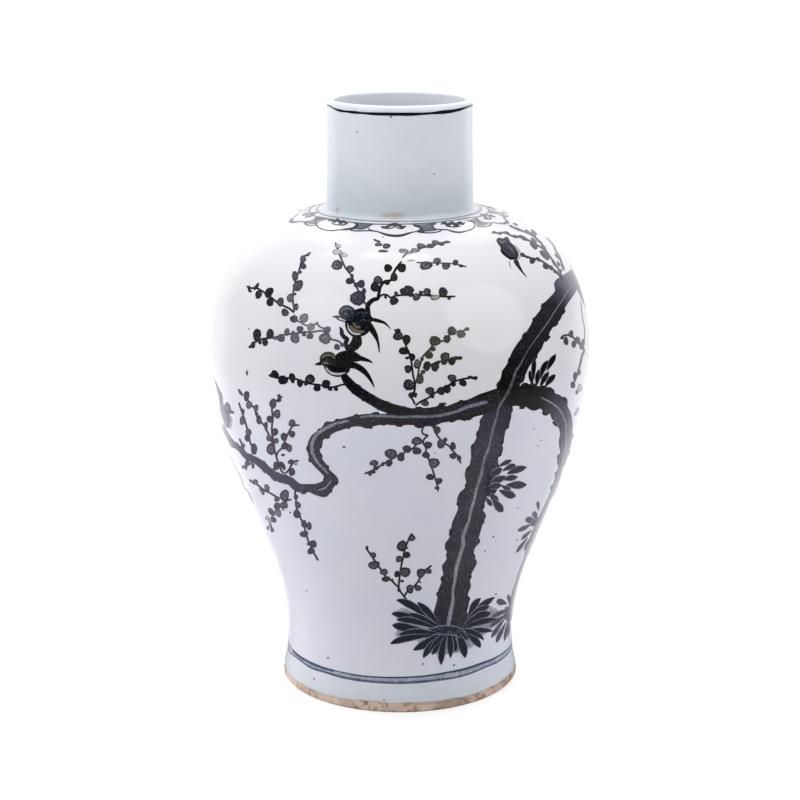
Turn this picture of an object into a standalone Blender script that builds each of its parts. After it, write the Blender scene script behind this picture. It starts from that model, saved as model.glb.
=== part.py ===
"""Glazed porcelain floor vase: a wide-shouldered jar on a flared foot, with a tall straight neck.

The jar is built as it is thrown: foot ring, foot, base disc, lower body, upper body and neck are
separate sections, stacked leather-hard and joined by layers of slip called lutes.
Lengths are metres, +Z is up, and the origin lies on the floor under the middle of the foot.
"""
import math

import bmesh
import bpy
import numpy as np

# Foot: a short concave flare that ends in a bare turned ring
FOOT_RADIUS = 0.1054
FOOT_FLARE_LEAN = 0.0043
FOOT_FLARE_RISE = 0.0215
RING_HEIGHT = 0.0060
RING_OUTER_CHAMFER = 0.0016
RING_INNER_CHAMFER = 0.0030

# Waist: the narrowest place, where the lower body is luted to the foot
WAIST_RADIUS = 0.1008
WAIST_HEIGHT = 0.0400
WAIST_PULL_DOWN = 0.0250
WAIST_PULL_UP = 0.0770

# Belly: the widest place, where the two halves of the body meet
BELLY_RADIUS = 0.1638
BELLY_HEIGHT = 0.2930
BELLY_PULL_DOWN = 0.1080
BELLY_PULL_UP = 0.0665

# Shoulder: the dome that closes in to the level seat under the neck
SHOULDER_HEIGHT = 0.4176
SHOULDER_PULL_OUT = 0.0700
SHOULDER_PULL_DROP = 0.0116

# Neck: nearly straight, with a lip rounded more outside than inside
NECK_BASE_RADIUS = 0.0630
NECK_TOP_RADIUS = 0.0614
NECK_HEIGHT = 0.0924
NECK_WALL = 0.0061
LIP_OUTER_ROUND = 0.0040

# Thrown walls, measured square to the outer face
WAIST_WALL = 0.0090
BELLY_WALL = 0.0060
SHOULDER_WALL = 0.0068

# Base disc: a slab dropped on a ledge turned inside the foot
BASE_RADIUS = 0.0905
BASE_THICKNESS = 0.0090
BASE_CLEARANCE_HEIGHT = 0.0120
BASE_BOW = 0.0015
BASE_LEDGE_WIDTH = 0.0042
BASE_COIL_LEG = 0.0090

# Lutes: a thin layer in each seam, wiped out into a band on the inside wall
LUTE_LAYER = 0.0012
LUTE_BAND_REACH = 0.0070
LUTE_BAND_THICKNESS = 0.0022
LUTE_EDGE = 0.0008
NECK_LUTE_REACH = 0.0045
NECK_LUTE_COVE = 0.0026

# Gap left between touching pieces
GAP = 0.0003

# Fineness of the turned faces
SEGMENTS = 56
CURVE_SAMPLES = 160

BASE_TOP = BASE_CLEARANCE_HEIGHT + BASE_THICKNESS
REBATE_RADIUS = BASE_RADIUS + GAP
LEDGE_RADIUS = BASE_RADIUS - BASE_LEDGE_WIDTH
MOUTH_RADIUS = NECK_BASE_RADIUS - NECK_WALL
SEAT_RADIUS = NECK_BASE_RADIUS + NECK_LUTE_COVE
SEAM_HALF = LUTE_LAYER / 2 + GAP
NECK_BOTTOM = SHOULDER_HEIGHT + GAP + LUTE_LAYER + GAP
TOTAL_HEIGHT = SHOULDER_HEIGHT + NECK_HEIGHT
LIP_START = TOTAL_HEIGHT - LIP_OUTER_ROUND

MATERIALS = {
    "glaze": {"color": (0.80, 0.83, 0.87), "roughness": 0.12},
    "bare_clay": {"color": (0.52, 0.37, 0.24), "roughness": 0.85},
    "slip": {"color": (0.74, 0.71, 0.65), "roughness": 0.75},
}


def clear_scene():
    for old in list(bpy.data.objects):
        bpy.data.objects.remove(old, do_unlink=True)


def make_material(name):
    look = MATERIALS[name]
    material = bpy.data.materials.new(name)
    material.use_nodes = True
    shader = material.node_tree.nodes["Principled BSDF"]
    shader.inputs["Base Color"].default_value = (*look["color"], 1.0)
    shader.inputs["Roughness"].default_value = look["roughness"]
    shader.inputs["Metallic"].default_value = 0.0
    material.diffuse_color = (*look["color"], 1.0)
    return material


def bezier(start, pull_start, pull_end, end):
    """Cubic curve from start to end, as (radius, height) rows; the pulls set how it leaves and arrives."""
    t = np.linspace(0.0, 1.0, CURVE_SAMPLES)[:, None]
    weights = ((1 - t) ** 3, 3 * (1 - t) ** 2 * t, 3 * (1 - t) * t ** 2, t ** 3)
    points = (start, pull_start, pull_end, end)
    return sum(weight * np.array(point) for weight, point in zip(weights, points))


def quarter_round(centre, radius, height, start_degrees, end_degrees, count):
    """Arc of an upright ellipse round a centre, as (radius, height) points."""
    angles = [
        math.radians(start_degrees + (end_degrees - start_degrees) * step / (count - 1))
        for step in range(count)
    ]
    return [(centre[0] + radius * math.cos(a), centre[1] + height * math.sin(a)) for a in angles]


def thrown_outer():
    """Outer face of the jar from the floor to the neck seat: three curves that share their tangents."""
    foot = bezier(
        (FOOT_RADIUS, 0.0),
        (FOOT_RADIUS - FOOT_FLARE_LEAN, FOOT_FLARE_RISE),
        (WAIST_RADIUS, WAIST_HEIGHT - WAIST_PULL_DOWN),
        (WAIST_RADIUS, WAIST_HEIGHT),
    )
    lower = bezier(
        (WAIST_RADIUS, WAIST_HEIGHT),
        (WAIST_RADIUS, WAIST_HEIGHT + WAIST_PULL_UP),
        (BELLY_RADIUS, BELLY_HEIGHT - BELLY_PULL_DOWN),
        (BELLY_RADIUS, BELLY_HEIGHT),
    )
    shoulder = bezier(
        (BELLY_RADIUS, BELLY_HEIGHT),
        (BELLY_RADIUS, BELLY_HEIGHT + BELLY_PULL_UP),
        (SEAT_RADIUS + SHOULDER_PULL_OUT, SHOULDER_HEIGHT - SHOULDER_PULL_DROP),
        (SEAT_RADIUS, SHOULDER_HEIGHT),
    )
    return np.vstack([foot, lower[1:], shoulder[1:]])


def thrown_inner(outer):
    """Inner face: the outer face moved square to itself by a wall that changes with height."""
    along = np.gradient(outer, axis=0)
    along /= np.linalg.norm(along, axis=1)[:, None]
    inward = np.column_stack([-along[:, 1], along[:, 0]])
    heights = (WAIST_HEIGHT, BELLY_HEIGHT, SHOULDER_HEIGHT)
    wall = np.interp(outer[:, 1], heights, (WAIST_WALL, BELLY_WALL, SHOULDER_WALL))
    return outer + inward * wall[:, None]


OUTER = thrown_outer()
INNER = thrown_inner(OUTER)


def radius_at(curve, height):
    return float(np.interp(height, curve[:, 1], curve[:, 0]))


def stretch(curve, low, high, count):
    """Points evenly spaced along a curve between two heights, bottom first."""
    middle = curve[(curve[:, 1] > low) & (curve[:, 1] < high)]
    part = np.vstack([(radius_at(curve, low), low), middle, (radius_at(curve, high), high)])
    travelled = np.concatenate([[0.0], np.cumsum(np.linalg.norm(np.diff(part, axis=0), axis=1))])
    stops = np.linspace(0.0, travelled[-1], count)
    radii = np.interp(stops, travelled, part[:, 0])
    heights = np.interp(stops, travelled, part[:, 1])
    return [(float(r), float(z)) for r, z in zip(radii, heights)]


def foot_wall_radius(height):
    """Inside of the foot above the base disc: a plain cone from the rebate up to the waist seam."""
    seam = WAIST_HEIGHT - SEAM_HALF
    return float(np.interp(height, (BASE_TOP, seam), (REBATE_RADIUS, radius_at(INNER, seam))))


def body_wall_radius(height):
    return radius_at(INNER, height)


def neck_radius(height):
    """Outside of the neck: it eases in towards the lip as the square of the height still to go."""
    to_go = (LIP_START - height) / (LIP_START - NECK_BOTTOM)
    return NECK_TOP_RADIUS + (NECK_BASE_RADIUS - NECK_TOP_RADIUS) * to_go ** 2


def base_top_height(radius):
    """Upper face of the base disc, bowed up by BASE_BOW in the middle."""
    return BASE_TOP + BASE_BOW * (1 - (radius / BASE_RADIUS) ** 2)


def turn(name, outline, material):
    """Spin a (radius, height) outline round the Z axis; an outline that touches the axis stays open there."""
    bm = bmesh.new()
    verts = [bm.verts.new((radius, 0.0, height)) for radius, height in outline]
    edges = [bm.edges.new(pair) for pair in zip(verts, verts[1:])]
    if outline[0][0] > 0:
        edges.append(bm.edges.new((verts[-1], verts[0])))
    bmesh.ops.spin(
        bm,
        geom=verts + edges,
        cent=(0.0, 0.0, 0.0),
        axis=(0.0, 0.0, 1.0),
        angle=math.tau,
        steps=SEGMENTS,
        use_merge=True,
    )
    bmesh.ops.remove_doubles(bm, verts=bm.verts, dist=1e-6)
    bmesh.ops.recalc_face_normals(bm, faces=bm.faces)
    mesh = bpy.data.meshes.new(name)
    bm.to_mesh(mesh)
    bm.free()
    mesh.materials.append(material)
    mesh.shade_smooth()
    mesh.set_sharp_from_angle(angle=math.radians(35))
    piece = bpy.data.objects.new(name, mesh)
    bpy.context.scene.collection.objects.link(piece)
    return piece


def foot_ring_outline():
    """Bare ring that the jar stands on, flat underneath between two turned chamfers."""
    face = stretch(OUTER, RING_OUTER_CHAMFER, RING_HEIGHT, 3)
    return [
        (FOOT_RADIUS - RING_OUTER_CHAMFER, 0.0),
        *face,
        (LEDGE_RADIUS, RING_HEIGHT),
        (LEDGE_RADIUS, RING_INNER_CHAMFER),
        (LEDGE_RADIUS + RING_INNER_CHAMFER, 0.0),
    ]


def foot_outline():
    """Flared foot with the ledge and rebate that take the base disc."""
    bottom = RING_HEIGHT + GAP
    seam = WAIST_HEIGHT - SEAM_HALF
    ledge = BASE_CLEARANCE_HEIGHT - GAP
    return [
        *stretch(OUTER, bottom, seam, 8),
        (foot_wall_radius(seam), seam),
        (REBATE_RADIUS, BASE_TOP),
        (REBATE_RADIUS, ledge),
        (LEDGE_RADIUS, ledge),
        (LEDGE_RADIUS, bottom),
    ]


def base_disc_outline():
    """Slab of even thickness, bowed up in the middle, from the axis out and back to it."""
    radii = [BASE_RADIUS * step / 3 for step in range(4)]
    under = [(radius, base_top_height(radius) - BASE_THICKNESS) for radius in radii]
    over = [(radius, base_top_height(radius)) for radius in reversed(radii)]
    return under + over


def base_coil_outline():
    """Coil of clay pressed into the corner between base disc and foot, with a hollow face."""
    top = BASE_TOP + GAP + BASE_COIL_LEG
    outer_low = REBATE_RADIUS - GAP
    outer_high = foot_wall_radius(top) - GAP
    inner = outer_low - BASE_COIL_LEG
    centre = (inner, top)
    reach_out = outer_high - LUTE_EDGE - inner
    reach_down = top - base_top_height(inner) - GAP - LUTE_EDGE
    face = quarter_round(centre, reach_out, -reach_down, 0.0, 90.0, 5)
    return [
        (outer_low, base_top_height(outer_low) + GAP),
        (outer_high, top),
        *face,
        (inner, base_top_height(inner) + GAP),
    ]


def lute_outline(seam, wall_below, wall_above):
    """Layer of slip in a body seam, with a band wiped over the inside of both walls."""
    low = seam - LUTE_LAYER / 2
    high = seam + LUTE_LAYER / 2
    band_low = seam - LUTE_BAND_REACH
    band_high = seam + LUTE_BAND_REACH
    crown = min(wall_below(low), wall_above(high)) - GAP - LUTE_BAND_THICKNESS
    return [
        (radius_at(OUTER, low), low),
        (radius_at(OUTER, high), high),
        (wall_above(high) - GAP, high),
        (wall_above(band_high) - GAP, band_high),
        (wall_above(band_high) - GAP - LUTE_EDGE, band_high),
        (crown, seam),
        (wall_below(band_low) - GAP - LUTE_EDGE, band_low),
        (wall_below(band_low) - GAP, band_low),
        (wall_below(low) - GAP, low),
    ]


def lower_body_outline():
    low = WAIST_HEIGHT + SEAM_HALF
    high = BELLY_HEIGHT - SEAM_HALF
    return stretch(OUTER, low, high, 13) + stretch(INNER, low, high, 9)[::-1]


def upper_body_outline():
    """Upper bowl that domes in to a level seat, then back down its inside wall."""
    low = BELLY_HEIGHT + SEAM_HALF
    inside_top = float(INNER[-1, 1])
    return [
        *stretch(OUTER, low, SHOULDER_HEIGHT, 17),
        (MOUTH_RADIUS, SHOULDER_HEIGHT),
        (MOUTH_RADIUS, inside_top),
        *stretch(INNER, low, inside_top, 11)[::-1],
    ]


def neck_lute_outline():
    """Slip under the neck: a cove outside, a thin layer between, and a band inside."""
    low = SHOULDER_HEIGHT + GAP
    high = low + LUTE_LAYER
    band_low = low - NECK_LUTE_REACH
    band_high = high + NECK_LUTE_REACH
    cove_top = NECK_BOTTOM + NECK_LUTE_COVE
    neck_side = neck_radius(cove_top) + GAP
    reach_in = SEAT_RADIUS - neck_side - LUTE_EDGE
    cove = quarter_round((SEAT_RADIUS, cove_top), -reach_in, low + GAP - cove_top, 90.0, 0.0, 4)
    mouth_side = MOUTH_RADIUS - GAP
    bore_side = neck_radius(band_high) - NECK_WALL - GAP
    crown = min(mouth_side, bore_side) - LUTE_BAND_THICKNESS
    return [
        (SEAT_RADIUS, low),
        *cove,
        (neck_side, cove_top),
        (NECK_BASE_RADIUS + GAP, high),
        (mouth_side, high),
        (bore_side, band_high),
        (bore_side - LUTE_EDGE, band_high),
        (crown, (low + high) / 2),
        (mouth_side - LUTE_EDGE, band_low),
        (mouth_side, band_low),
        (mouth_side, low),
    ]


def neck_outline():
    """Neck from its foot up the outside, over the lip and down the bore."""
    stops = [NECK_BOTTOM + (LIP_START - NECK_BOTTOM) * step / 4 for step in range(5)]
    outside = [(neck_radius(height), height) for height in stops]
    inner_round = NECK_WALL - LIP_OUTER_ROUND
    crest = NECK_TOP_RADIUS - LIP_OUTER_ROUND
    lip_out = quarter_round((crest, LIP_START), LIP_OUTER_ROUND, LIP_OUTER_ROUND, 0.0, 90.0, 6)
    lip_in = quarter_round((crest, TOTAL_HEIGHT - inner_round), inner_round, inner_round, 90.0, 180.0, 4)
    bore = [(neck_radius(height) - NECK_WALL, height) for height in (stops[2], stops[0])]
    return outside + lip_out[1:] + lip_in[1:] + bore


clear_scene()
glaze = make_material("glaze")
bare_clay = make_material("bare_clay")
slip = make_material("slip")

turn("foot_ring", foot_ring_outline(), bare_clay)
turn("foot", foot_outline(), glaze)
turn("base_disc", base_disc_outline(), bare_clay)
turn("base_coil", base_coil_outline(), slip)
turn("foot_lute", lute_outline(WAIST_HEIGHT, foot_wall_radius, body_wall_radius), slip)
turn("lower_body", lower_body_outline(), glaze)
turn("belly_lute", lute_outline(BELLY_HEIGHT, body_wall_radius, body_wall_radius), slip)
turn("upper_body", upper_body_outline(), glaze)
turn("neck_lute", neck_lute_outline(), slip)
turn("neck", neck_outline(), glaze)
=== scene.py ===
import math

import bpy
import numpy as np
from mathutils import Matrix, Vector


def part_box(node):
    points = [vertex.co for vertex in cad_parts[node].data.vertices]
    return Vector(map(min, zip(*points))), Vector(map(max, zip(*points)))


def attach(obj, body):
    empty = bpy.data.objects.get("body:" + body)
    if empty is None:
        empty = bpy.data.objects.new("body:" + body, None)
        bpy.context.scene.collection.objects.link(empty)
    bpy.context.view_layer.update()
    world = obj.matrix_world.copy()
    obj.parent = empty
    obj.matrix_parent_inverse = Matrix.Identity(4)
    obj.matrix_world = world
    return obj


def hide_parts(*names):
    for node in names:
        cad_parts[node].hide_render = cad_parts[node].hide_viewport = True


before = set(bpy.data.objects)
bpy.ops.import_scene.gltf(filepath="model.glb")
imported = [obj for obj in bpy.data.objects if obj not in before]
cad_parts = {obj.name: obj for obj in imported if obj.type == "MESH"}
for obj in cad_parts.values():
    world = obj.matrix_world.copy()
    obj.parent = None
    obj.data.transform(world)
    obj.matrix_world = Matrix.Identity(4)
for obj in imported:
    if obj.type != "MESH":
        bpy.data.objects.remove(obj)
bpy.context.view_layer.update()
body = "root"  # the fired jar is one rigid piece
print("frame loaded")

# the photo's camera; focal length and middle are in pixels of the 800 x 800 photo
photoView = {
    "place": (0.0, -1.6913, 0.6896),
    "tiltDown": math.radians(14.62),
    "focal": 2004.5,
    "middle": 400.0,
    "sensor": 36.0,
}

studio = {
    "ambient": 0.56,
    "sideLight": (0.20, 0.18),  # more light from the left and the right than from the front and back
    "background": 1.0,
    "frontGloss": 0.05,  # the dark room on the camera's side, as the glaze mirrors it
    "glossTurn": (0.50, 0.86),  # where, from front to back, the room gives way to the white background
    "overheadGloss": 0.45,
    # the softbox overhead as the glaze mirrors it, by direction from where it starts to where it is full,
    # and three bare lamps
    "overheadMirrored": {"away": (0.34, 0.60), "across": (0.28, 0.42), "up": (0.40, 0.60), "strength": 1.1},
    "mirroredSpots": (
        ((-0.36, 0.34, 0.87), 0.09, 1.6),
        ((-0.13, 0.22, 0.97), 0.13, 2.2),
        ((0.08, 0.17, 0.98), 0.13, 3.0),
    ),
    "floorColour": (0.58, 0.58, 0.58),
    "floorGlow": (0.46, 0.78),  # what makes it white to the camera, near the jar and far from it
    "floorFar": (0.35, 2.4),  # metres over which it goes from the one to the other
    "floorMirrored": (0.8, 1.5, 0.27, 0.02),  # its tone as the glaze mirrors it, near the jar and far from it
    "floorBehind": (0.30, 0.72, 0.0, 1.0),  # and how it glows behind the jar, by the sine of the angle there
    "floorRadius": 16.0,
    "aim": (0.0, 0.0, 0.27),
    "lamps": {
        "topSoftbox": {"place": (-0.02, 0.65, 2.05), "shape": "RECTANGLE", "size": (3.2, 2.57),
                       "watts": 55.0, "mirrored": False},
        "leftSoftbox": {"place": (-1.60, -0.85, 1.13), "shape": "RECTANGLE", "size": (1.4, 1.5),
                        "watts": 12.0, "mirrored": False},
        "leftFlash": {"place": (-1.094, -0.833, 1.118), "shape": "DISK", "size": (0.92, 0.92), "watts": 2.5},
        "rightUmbrella": {"place": (1.444, -0.938, 1.165), "shape": "DISK", "size": (1.7, 1.7),
                          "watts": 10.5},
        # white cards on the floor at both sides, which throw light up at the foot and the flanks
        "leftCard": {"place": (-0.34, 0.03, 0.02), "shape": "RECTANGLE", "size": (0.24, 0.24),
                     "watts": 0.75, "mirrored": False},
        "rightCard": {"place": (0.34, 0.03, 0.02), "shape": "RECTANGLE", "size": (0.24, 0.24),
                      "watts": 0.40, "mirrored": False},
    },
}


def aimCamera():
    lens = bpy.data.cameras.new("photoCamera")
    lens.sensor_width = photoView["sensor"]
    lens.lens = photoView["focal"] / (2 * photoView["middle"]) * photoView["sensor"]
    camera = bpy.data.objects.new("photoCamera", lens)
    camera.location = photoView["place"]
    camera.rotation_euler = (math.pi / 2 - photoView["tiltDown"], 0.0, 0.0)
    bpy.context.scene.collection.objects.link(camera)
    bpy.context.scene.camera = camera


def feed(tree, socket, value):
    # a link from an output socket, or a fixed number or colour
    if isinstance(value, bpy.types.NodeSocket):
        tree.links.new(value, socket)
    else:
        socket.default_value = value


def newNode(tree, kind, *inOrder, **byName):
    # a node with its inputs fed in order, where None leaves one as it is, or by name
    made = tree.nodes.new(kind)
    for place, value in enumerate(inOrder):
        if value is not None:
            feed(tree, made.inputs[place], value)
    for name, value in byName.items():
        feed(tree, made.inputs[name], value)
    return made


def maths(tree, operation, first, second=0.0, clamp=False):
    made = newNode(tree, "ShaderNodeMath", first, second)
    made.operation = operation
    made.use_clamp = clamp
    return made.outputs[0]


def times(tree, first, *others):
    for other in others:
        first = maths(tree, "MULTIPLY", first, other)
    return first


def plus(tree, first, *others):
    for other in others:
        first = maths(tree, "ADD", first, other)
    return first


def vectorMaths(tree, operation, *values):
    made = newNode(tree, "ShaderNodeVectorMath", *values)
    made.operation = operation
    return made.outputs["Value" if operation in ("LENGTH", "DISTANCE") else "Vector"]


def objectPlace(tree):
    return tree.nodes.new("ShaderNodeTexCoord").outputs["Object"]


def mixColour(tree, share, first, second):
    made = tree.nodes.new("ShaderNodeMix")
    made.data_type = "RGBA"
    for place, value in ((0, share), (6, first), (7, second)):
        feed(tree, made.inputs[place], value)
    return made.outputs[2]


def mixNumber(tree, share, first, second):
    return newNode(tree, "ShaderNodeMix", share, None, first, second).outputs[0]


def ease(tree, value, low, high, toLow=0.0, toHigh=1.0):
    # a smooth step of value from low to high
    made = newNode(tree, "ShaderNodeMapRange", value, low, high, toLow, toHigh)
    made.interpolation_type = "SMOOTHSTEP"
    return made.outputs[0]


def noise(tree, vector, scale, detail=3.0, rough=0.55):
    made = newNode(tree, "ShaderNodeTexNoise", Vector=vector, Scale=scale, Detail=detail, Roughness=rough)
    return made.outputs["Fac"]


def newGroup(name, outputKind, outputName, **inputs):
    # a node group with one output; each input is named with its kind of socket and its value
    group = bpy.data.node_groups.new(name, "ShaderNodeTree")
    for socketName, (kind, value) in inputs.items():
        socket = group.interface.new_socket(name=socketName, in_out="INPUT", socket_type="NodeSocket" + kind)
        if value is not None:
            socket.default_value = value
    group.interface.new_socket(name=outputName, in_out="OUTPUT", socket_type="NodeSocket" + outputKind)
    return group, group.nodes.new("NodeGroupInput").outputs, group.nodes.new("NodeGroupOutput").inputs


def placeGroup(tree, group, **sockets):
    made = tree.nodes.new("ShaderNodeGroup")
    made.node_tree = group
    for name, value in sockets.items():
        feed(tree, made.inputs[name], value)
    return made.outputs


def colour(rgb):
    return (*rgb, 1.0)


def newMaterial(name):
    material = bpy.data.materials.new(name)
    material.use_nodes = True
    tree = material.node_tree
    return material, tree, tree.nodes["Principled BSDF"]


def lightWorld():
    # matt surfaces gather light that is stronger from the sides; the glaze mirrors a white room, dark behind
    # the camera; the camera itself sees white
    world = bpy.data.worlds.new("studio")
    bpy.context.scene.world = world
    world.use_nodes = True
    tree = world.node_tree
    seen = tree.nodes.new("ShaderNodeLightPath").outputs
    direction = tree.nodes.new("ShaderNodeTexCoord").outputs["Generated"]
    across, away, up = newNode(tree, "ShaderNodeSeparateXYZ", Vector=direction).outputs
    sides = times(tree, across, across, ease(tree, across, -0.3, 0.3, *studio["sideLight"]))
    gathered = maths(tree, "ADD", sides, studio["ambient"])
    mirrored = ease(tree, away, *studio["glossTurn"], studio["frontGloss"], studio["background"])
    mirrored = times(tree, mirrored, ease(tree, up, 0.25, 0.90, 1.0, studio["overheadGloss"]))
    softbox = studio["overheadMirrored"]
    patch = ease(tree, maths(tree, "ABSOLUTE", across), *softbox["across"], softbox["strength"], 0.0)
    patch = times(tree, patch, ease(tree, away, *softbox["away"]), ease(tree, up, *softbox["up"]))
    mirrored = plus(tree, mirrored, patch)
    for middle, size, strength in studio["mirroredSpots"]:
        apart = vectorMaths(tree, "DISTANCE", direction, middle)
        mirrored = plus(tree, mirrored, ease(tree, apart, 0.5 * size, size, strength, 0.0))
    glossy = maths(tree, "MAXIMUM", seen["Is Glossy Ray"], seen["Is Transmission Ray"])
    strength = mixNumber(tree, glossy, gathered, mirrored)
    background = tree.nodes["Background"].inputs
    feed(tree, background["Strength"], mixNumber(tree, seen["Is Camera Ray"], strength, studio["background"]))
    background["Color"].default_value = (1.0, 1.0, 1.0, 1.0)


def hangLamps():
    for name, lamp in studio["lamps"].items():
        data = bpy.data.lights.new(name, "AREA")
        data.shape = lamp["shape"]
        data.size, data.size_y = lamp["size"]
        data.energy = lamp["watts"]
        made = bpy.data.objects.new(name, data)
        made.location = lamp["place"]
        aim = Vector(studio["aim"]) - Vector(lamp["place"])
        made.rotation_euler = aim.to_track_quat("-Z", "Y").to_euler()
        made.visible_glossy = made.visible_camera = lamp.get("mirrored", True)
        bpy.context.scene.collection.objects.link(made)


def layFloor():
    # a round floor that takes the jar's shadow and shows white to the camera, more so far from the lamps
    material, tree, shader = newMaterial("floorWhite")
    tree.nodes.remove(shader)
    seen = tree.nodes.new("ShaderNodeLightPath").outputs
    place = objectPlace(tree)
    along = newNode(tree, "ShaderNodeSeparateXYZ", Vector=place).outputs["Y"]
    reach = vectorMaths(tree, "LENGTH", place)
    tone = ease(tree, reach, *studio["floorMirrored"])
    shade = mixColour(tree, seen["Is Glossy Ray"], colour(studio["floorColour"]), tone)
    far = ease(tree, reach, *studio["floorFar"], *studio["floorGlow"])
    behind = ease(tree, maths(tree, "DIVIDE", along, reach), *studio["floorBehind"])
    shown = plus(tree, times(tree, seen["Is Camera Ray"], far), times(tree, seen["Is Glossy Ray"], behind))
    matt = newNode(tree, "ShaderNodeBsdfDiffuse", Color=shade).outputs[0]
    glow = newNode(tree, "ShaderNodeEmission", Strength=shown).outputs[0]
    both = newNode(tree, "ShaderNodeAddShader", matt, glow).outputs[0]
    tree.links.new(both, tree.nodes["Material Output"].inputs["Surface"])
    corners = 96
    angles = np.linspace(0, 2 * math.pi, corners, endpoint=False)
    rim = np.stack([np.cos(angles), np.sin(angles), np.zeros(corners)], 1) * studio["floorRadius"]
    mesh = bpy.data.meshes.new("floor")
    mesh.from_pydata(rim.tolist(), [], [list(range(corners))])
    mesh.materials.append(material)
    floor = bpy.data.objects.new("floor", mesh)
    bpy.context.scene.collection.objects.link(floor)


bpy.context.scene.view_settings.view_transform = "Standard"
aimCamera()
lightWorld()
hangLamps()
layFloor()
print("camera, lamps and floor set")

# the thrown jar: heights and the belly come from the frame, the rest are the solids' own sizes in metres
jar = {
    "footRadius": 0.1054,
    "flareLean": 0.0043,
    "flareRise": 0.0215,
    "ringHeight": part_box("foot_ring")[1].z,
    "ringChamfer": 0.0016,
    "ringInnerChamfer": 0.0030,
    "waistRadius": 0.1008,
    "waistHeight": (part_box("foot")[1].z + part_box("lower_body")[0].z) / 2,
    "waistPullDown": 0.0250,
    "waistPullUp": 0.0770,
    "bellyRadius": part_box("upper_body")[1].x,
    "bellyHeight": (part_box("lower_body")[1].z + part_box("upper_body")[0].z) / 2,
    "bellyPullDown": 0.1080,
    "bellyPullUp": 0.0665,
    "seatRadius": 0.0656,
    "seatHeight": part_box("upper_body")[1].z,
    "shoulderPullOut": 0.0700,
    "shoulderPullDrop": 0.0116,
    "neckBaseRadius": 0.0630,
    "neckTopRadius": 0.0614,
    "neckFoot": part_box("neck")[0].z,
    "coveHeight": 0.0030,
    "rimHeight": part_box("neck")[1].z,
    "neckWall": 0.0061,
    "lipRound": 0.0040,
    "waistWall": 0.0090,
    "bellyWall": 0.0060,
    "shoulderWall": 0.0068,
    "baseRadius": 0.0905,
    "baseTop": 0.0210,
    "baseThickness": 0.0090,
    "baseBow": 0.0015,
    "ledgeRadius": 0.0863,
    "coilLeg": 0.0090,
    "luteBandReach": 0.0070,
    "luteBandThickness": 0.0022,
}
lipStart = jar["rimHeight"] - jar["lipRound"]
lipInnerRound = jar["neckWall"] - jar["lipRound"]
mouthRadius = jar["neckBaseRadius"] - jar["neckWall"]


def bezier(*points):
    # cubic curve of (radius, height) rows: each point weighted by t and 1 - t to the powers of its place
    t = np.linspace(0.0, 1.0, 600)[:, None]
    weights = ((1 - t) ** 3, 3 * (1 - t) ** 2 * t, 3 * (1 - t) * t ** 2, t ** 3)
    return sum(weight * np.array(point) for weight, point in zip(weights, points))


def arc(centreRadius, centreHeight, radius, startDegrees, endDegrees, count):
    angles = np.radians(np.linspace(startDegrees, endDegrees, count))
    return np.stack([centreRadius + radius * np.cos(angles), centreHeight + radius * np.sin(angles)], 1)


def neckSide():
    # the neck eases in towards the lip as the square of the height still to go
    heights = np.linspace(jar["neckFoot"], lipStart, 300)
    toGo = (lipStart - heights) / (lipStart - jar["neckFoot"])
    radii = jar["neckTopRadius"] + (jar["neckBaseRadius"] - jar["neckTopRadius"]) * toGo ** 2
    return np.stack([radii, heights], 1)


def bodyOuter():
    # three cubics with upright tangents at the belly: flare, lower body, shoulder
    waist = (jar["waistRadius"], jar["waistHeight"])
    belly = (jar["bellyRadius"], jar["bellyHeight"])
    seat = (jar["seatRadius"], jar["seatHeight"])
    toe = (jar["footRadius"] - jar["flareLean"], jar["flareRise"])
    foot = bezier((jar["footRadius"], 0.0), toe, (waist[0], waist[1] - jar["waistPullDown"]), waist)
    aboveWaist, underBelly = waist[1] + jar["waistPullUp"], belly[1] - jar["bellyPullDown"]
    lower = bezier(waist, (waist[0], aboveWaist), (belly[0], underBelly), belly)
    besideNeck = (seat[0] + jar["shoulderPullOut"], seat[1] - jar["shoulderPullDrop"])
    shoulder = bezier(belly, (belly[0], belly[1] + jar["bellyPullUp"]), besideNeck, seat)
    return np.vstack([foot, lower[1:], shoulder[1:]])


def lipRound(out, back):
    # two quarter circles, up over the crest and down into the bore
    crest = jar["neckTopRadius"] - jar["lipRound"]
    return np.vstack([arc(crest, lipStart, jar["lipRound"], 0, 90, out)[1:],
                      arc(crest, jar["rimHeight"] - lipInnerRound, lipInnerRound, 90, 180, back)[1:]])


def outerToRim():
    # the body, the glazed cove under the neck, the neck and the lip, over into the bore
    seat = (jar["seatRadius"], jar["seatHeight"])
    side = neckSide()
    side = side[side[:, 1] > jar["neckFoot"] + jar["coveHeight"]]
    leave, arrive = (seat[0] - 0.0020, seat[1] + 0.0003), (side[0, 0] + 0.00002, side[0, 1] - 0.0024)
    cove = bezier(seat, leave, arrive, side[0])
    return np.vstack([bodyOuter(), cove[1:], side[1:], lipRound(60, 60)])


def farAlong(line):
    # the distance gone along a line at each of its points
    return np.concatenate([[0.0], np.cumsum(np.linalg.norm(np.diff(line, axis=0), axis=1))])


def squareTo(along):
    # unit steps a quarter turn to the right of each direction; outwards for an outline that climbs
    side = np.stack([along[:, 1], -along[:, 0]], 1)
    return side / np.linalg.norm(side, axis=1)[:, None]


def innerWall(outer):
    # the outer line moved square to itself by a wall that changes with height
    heights = (jar["waistHeight"], jar["bellyHeight"], jar["seatHeight"])
    wall = np.interp(outer[:, 1], heights, (jar["waistWall"], jar["bellyWall"], jar["shoulderWall"]))
    return outer - squareTo(np.gradient(outer, axis=0)) * wall[:, None]


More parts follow.
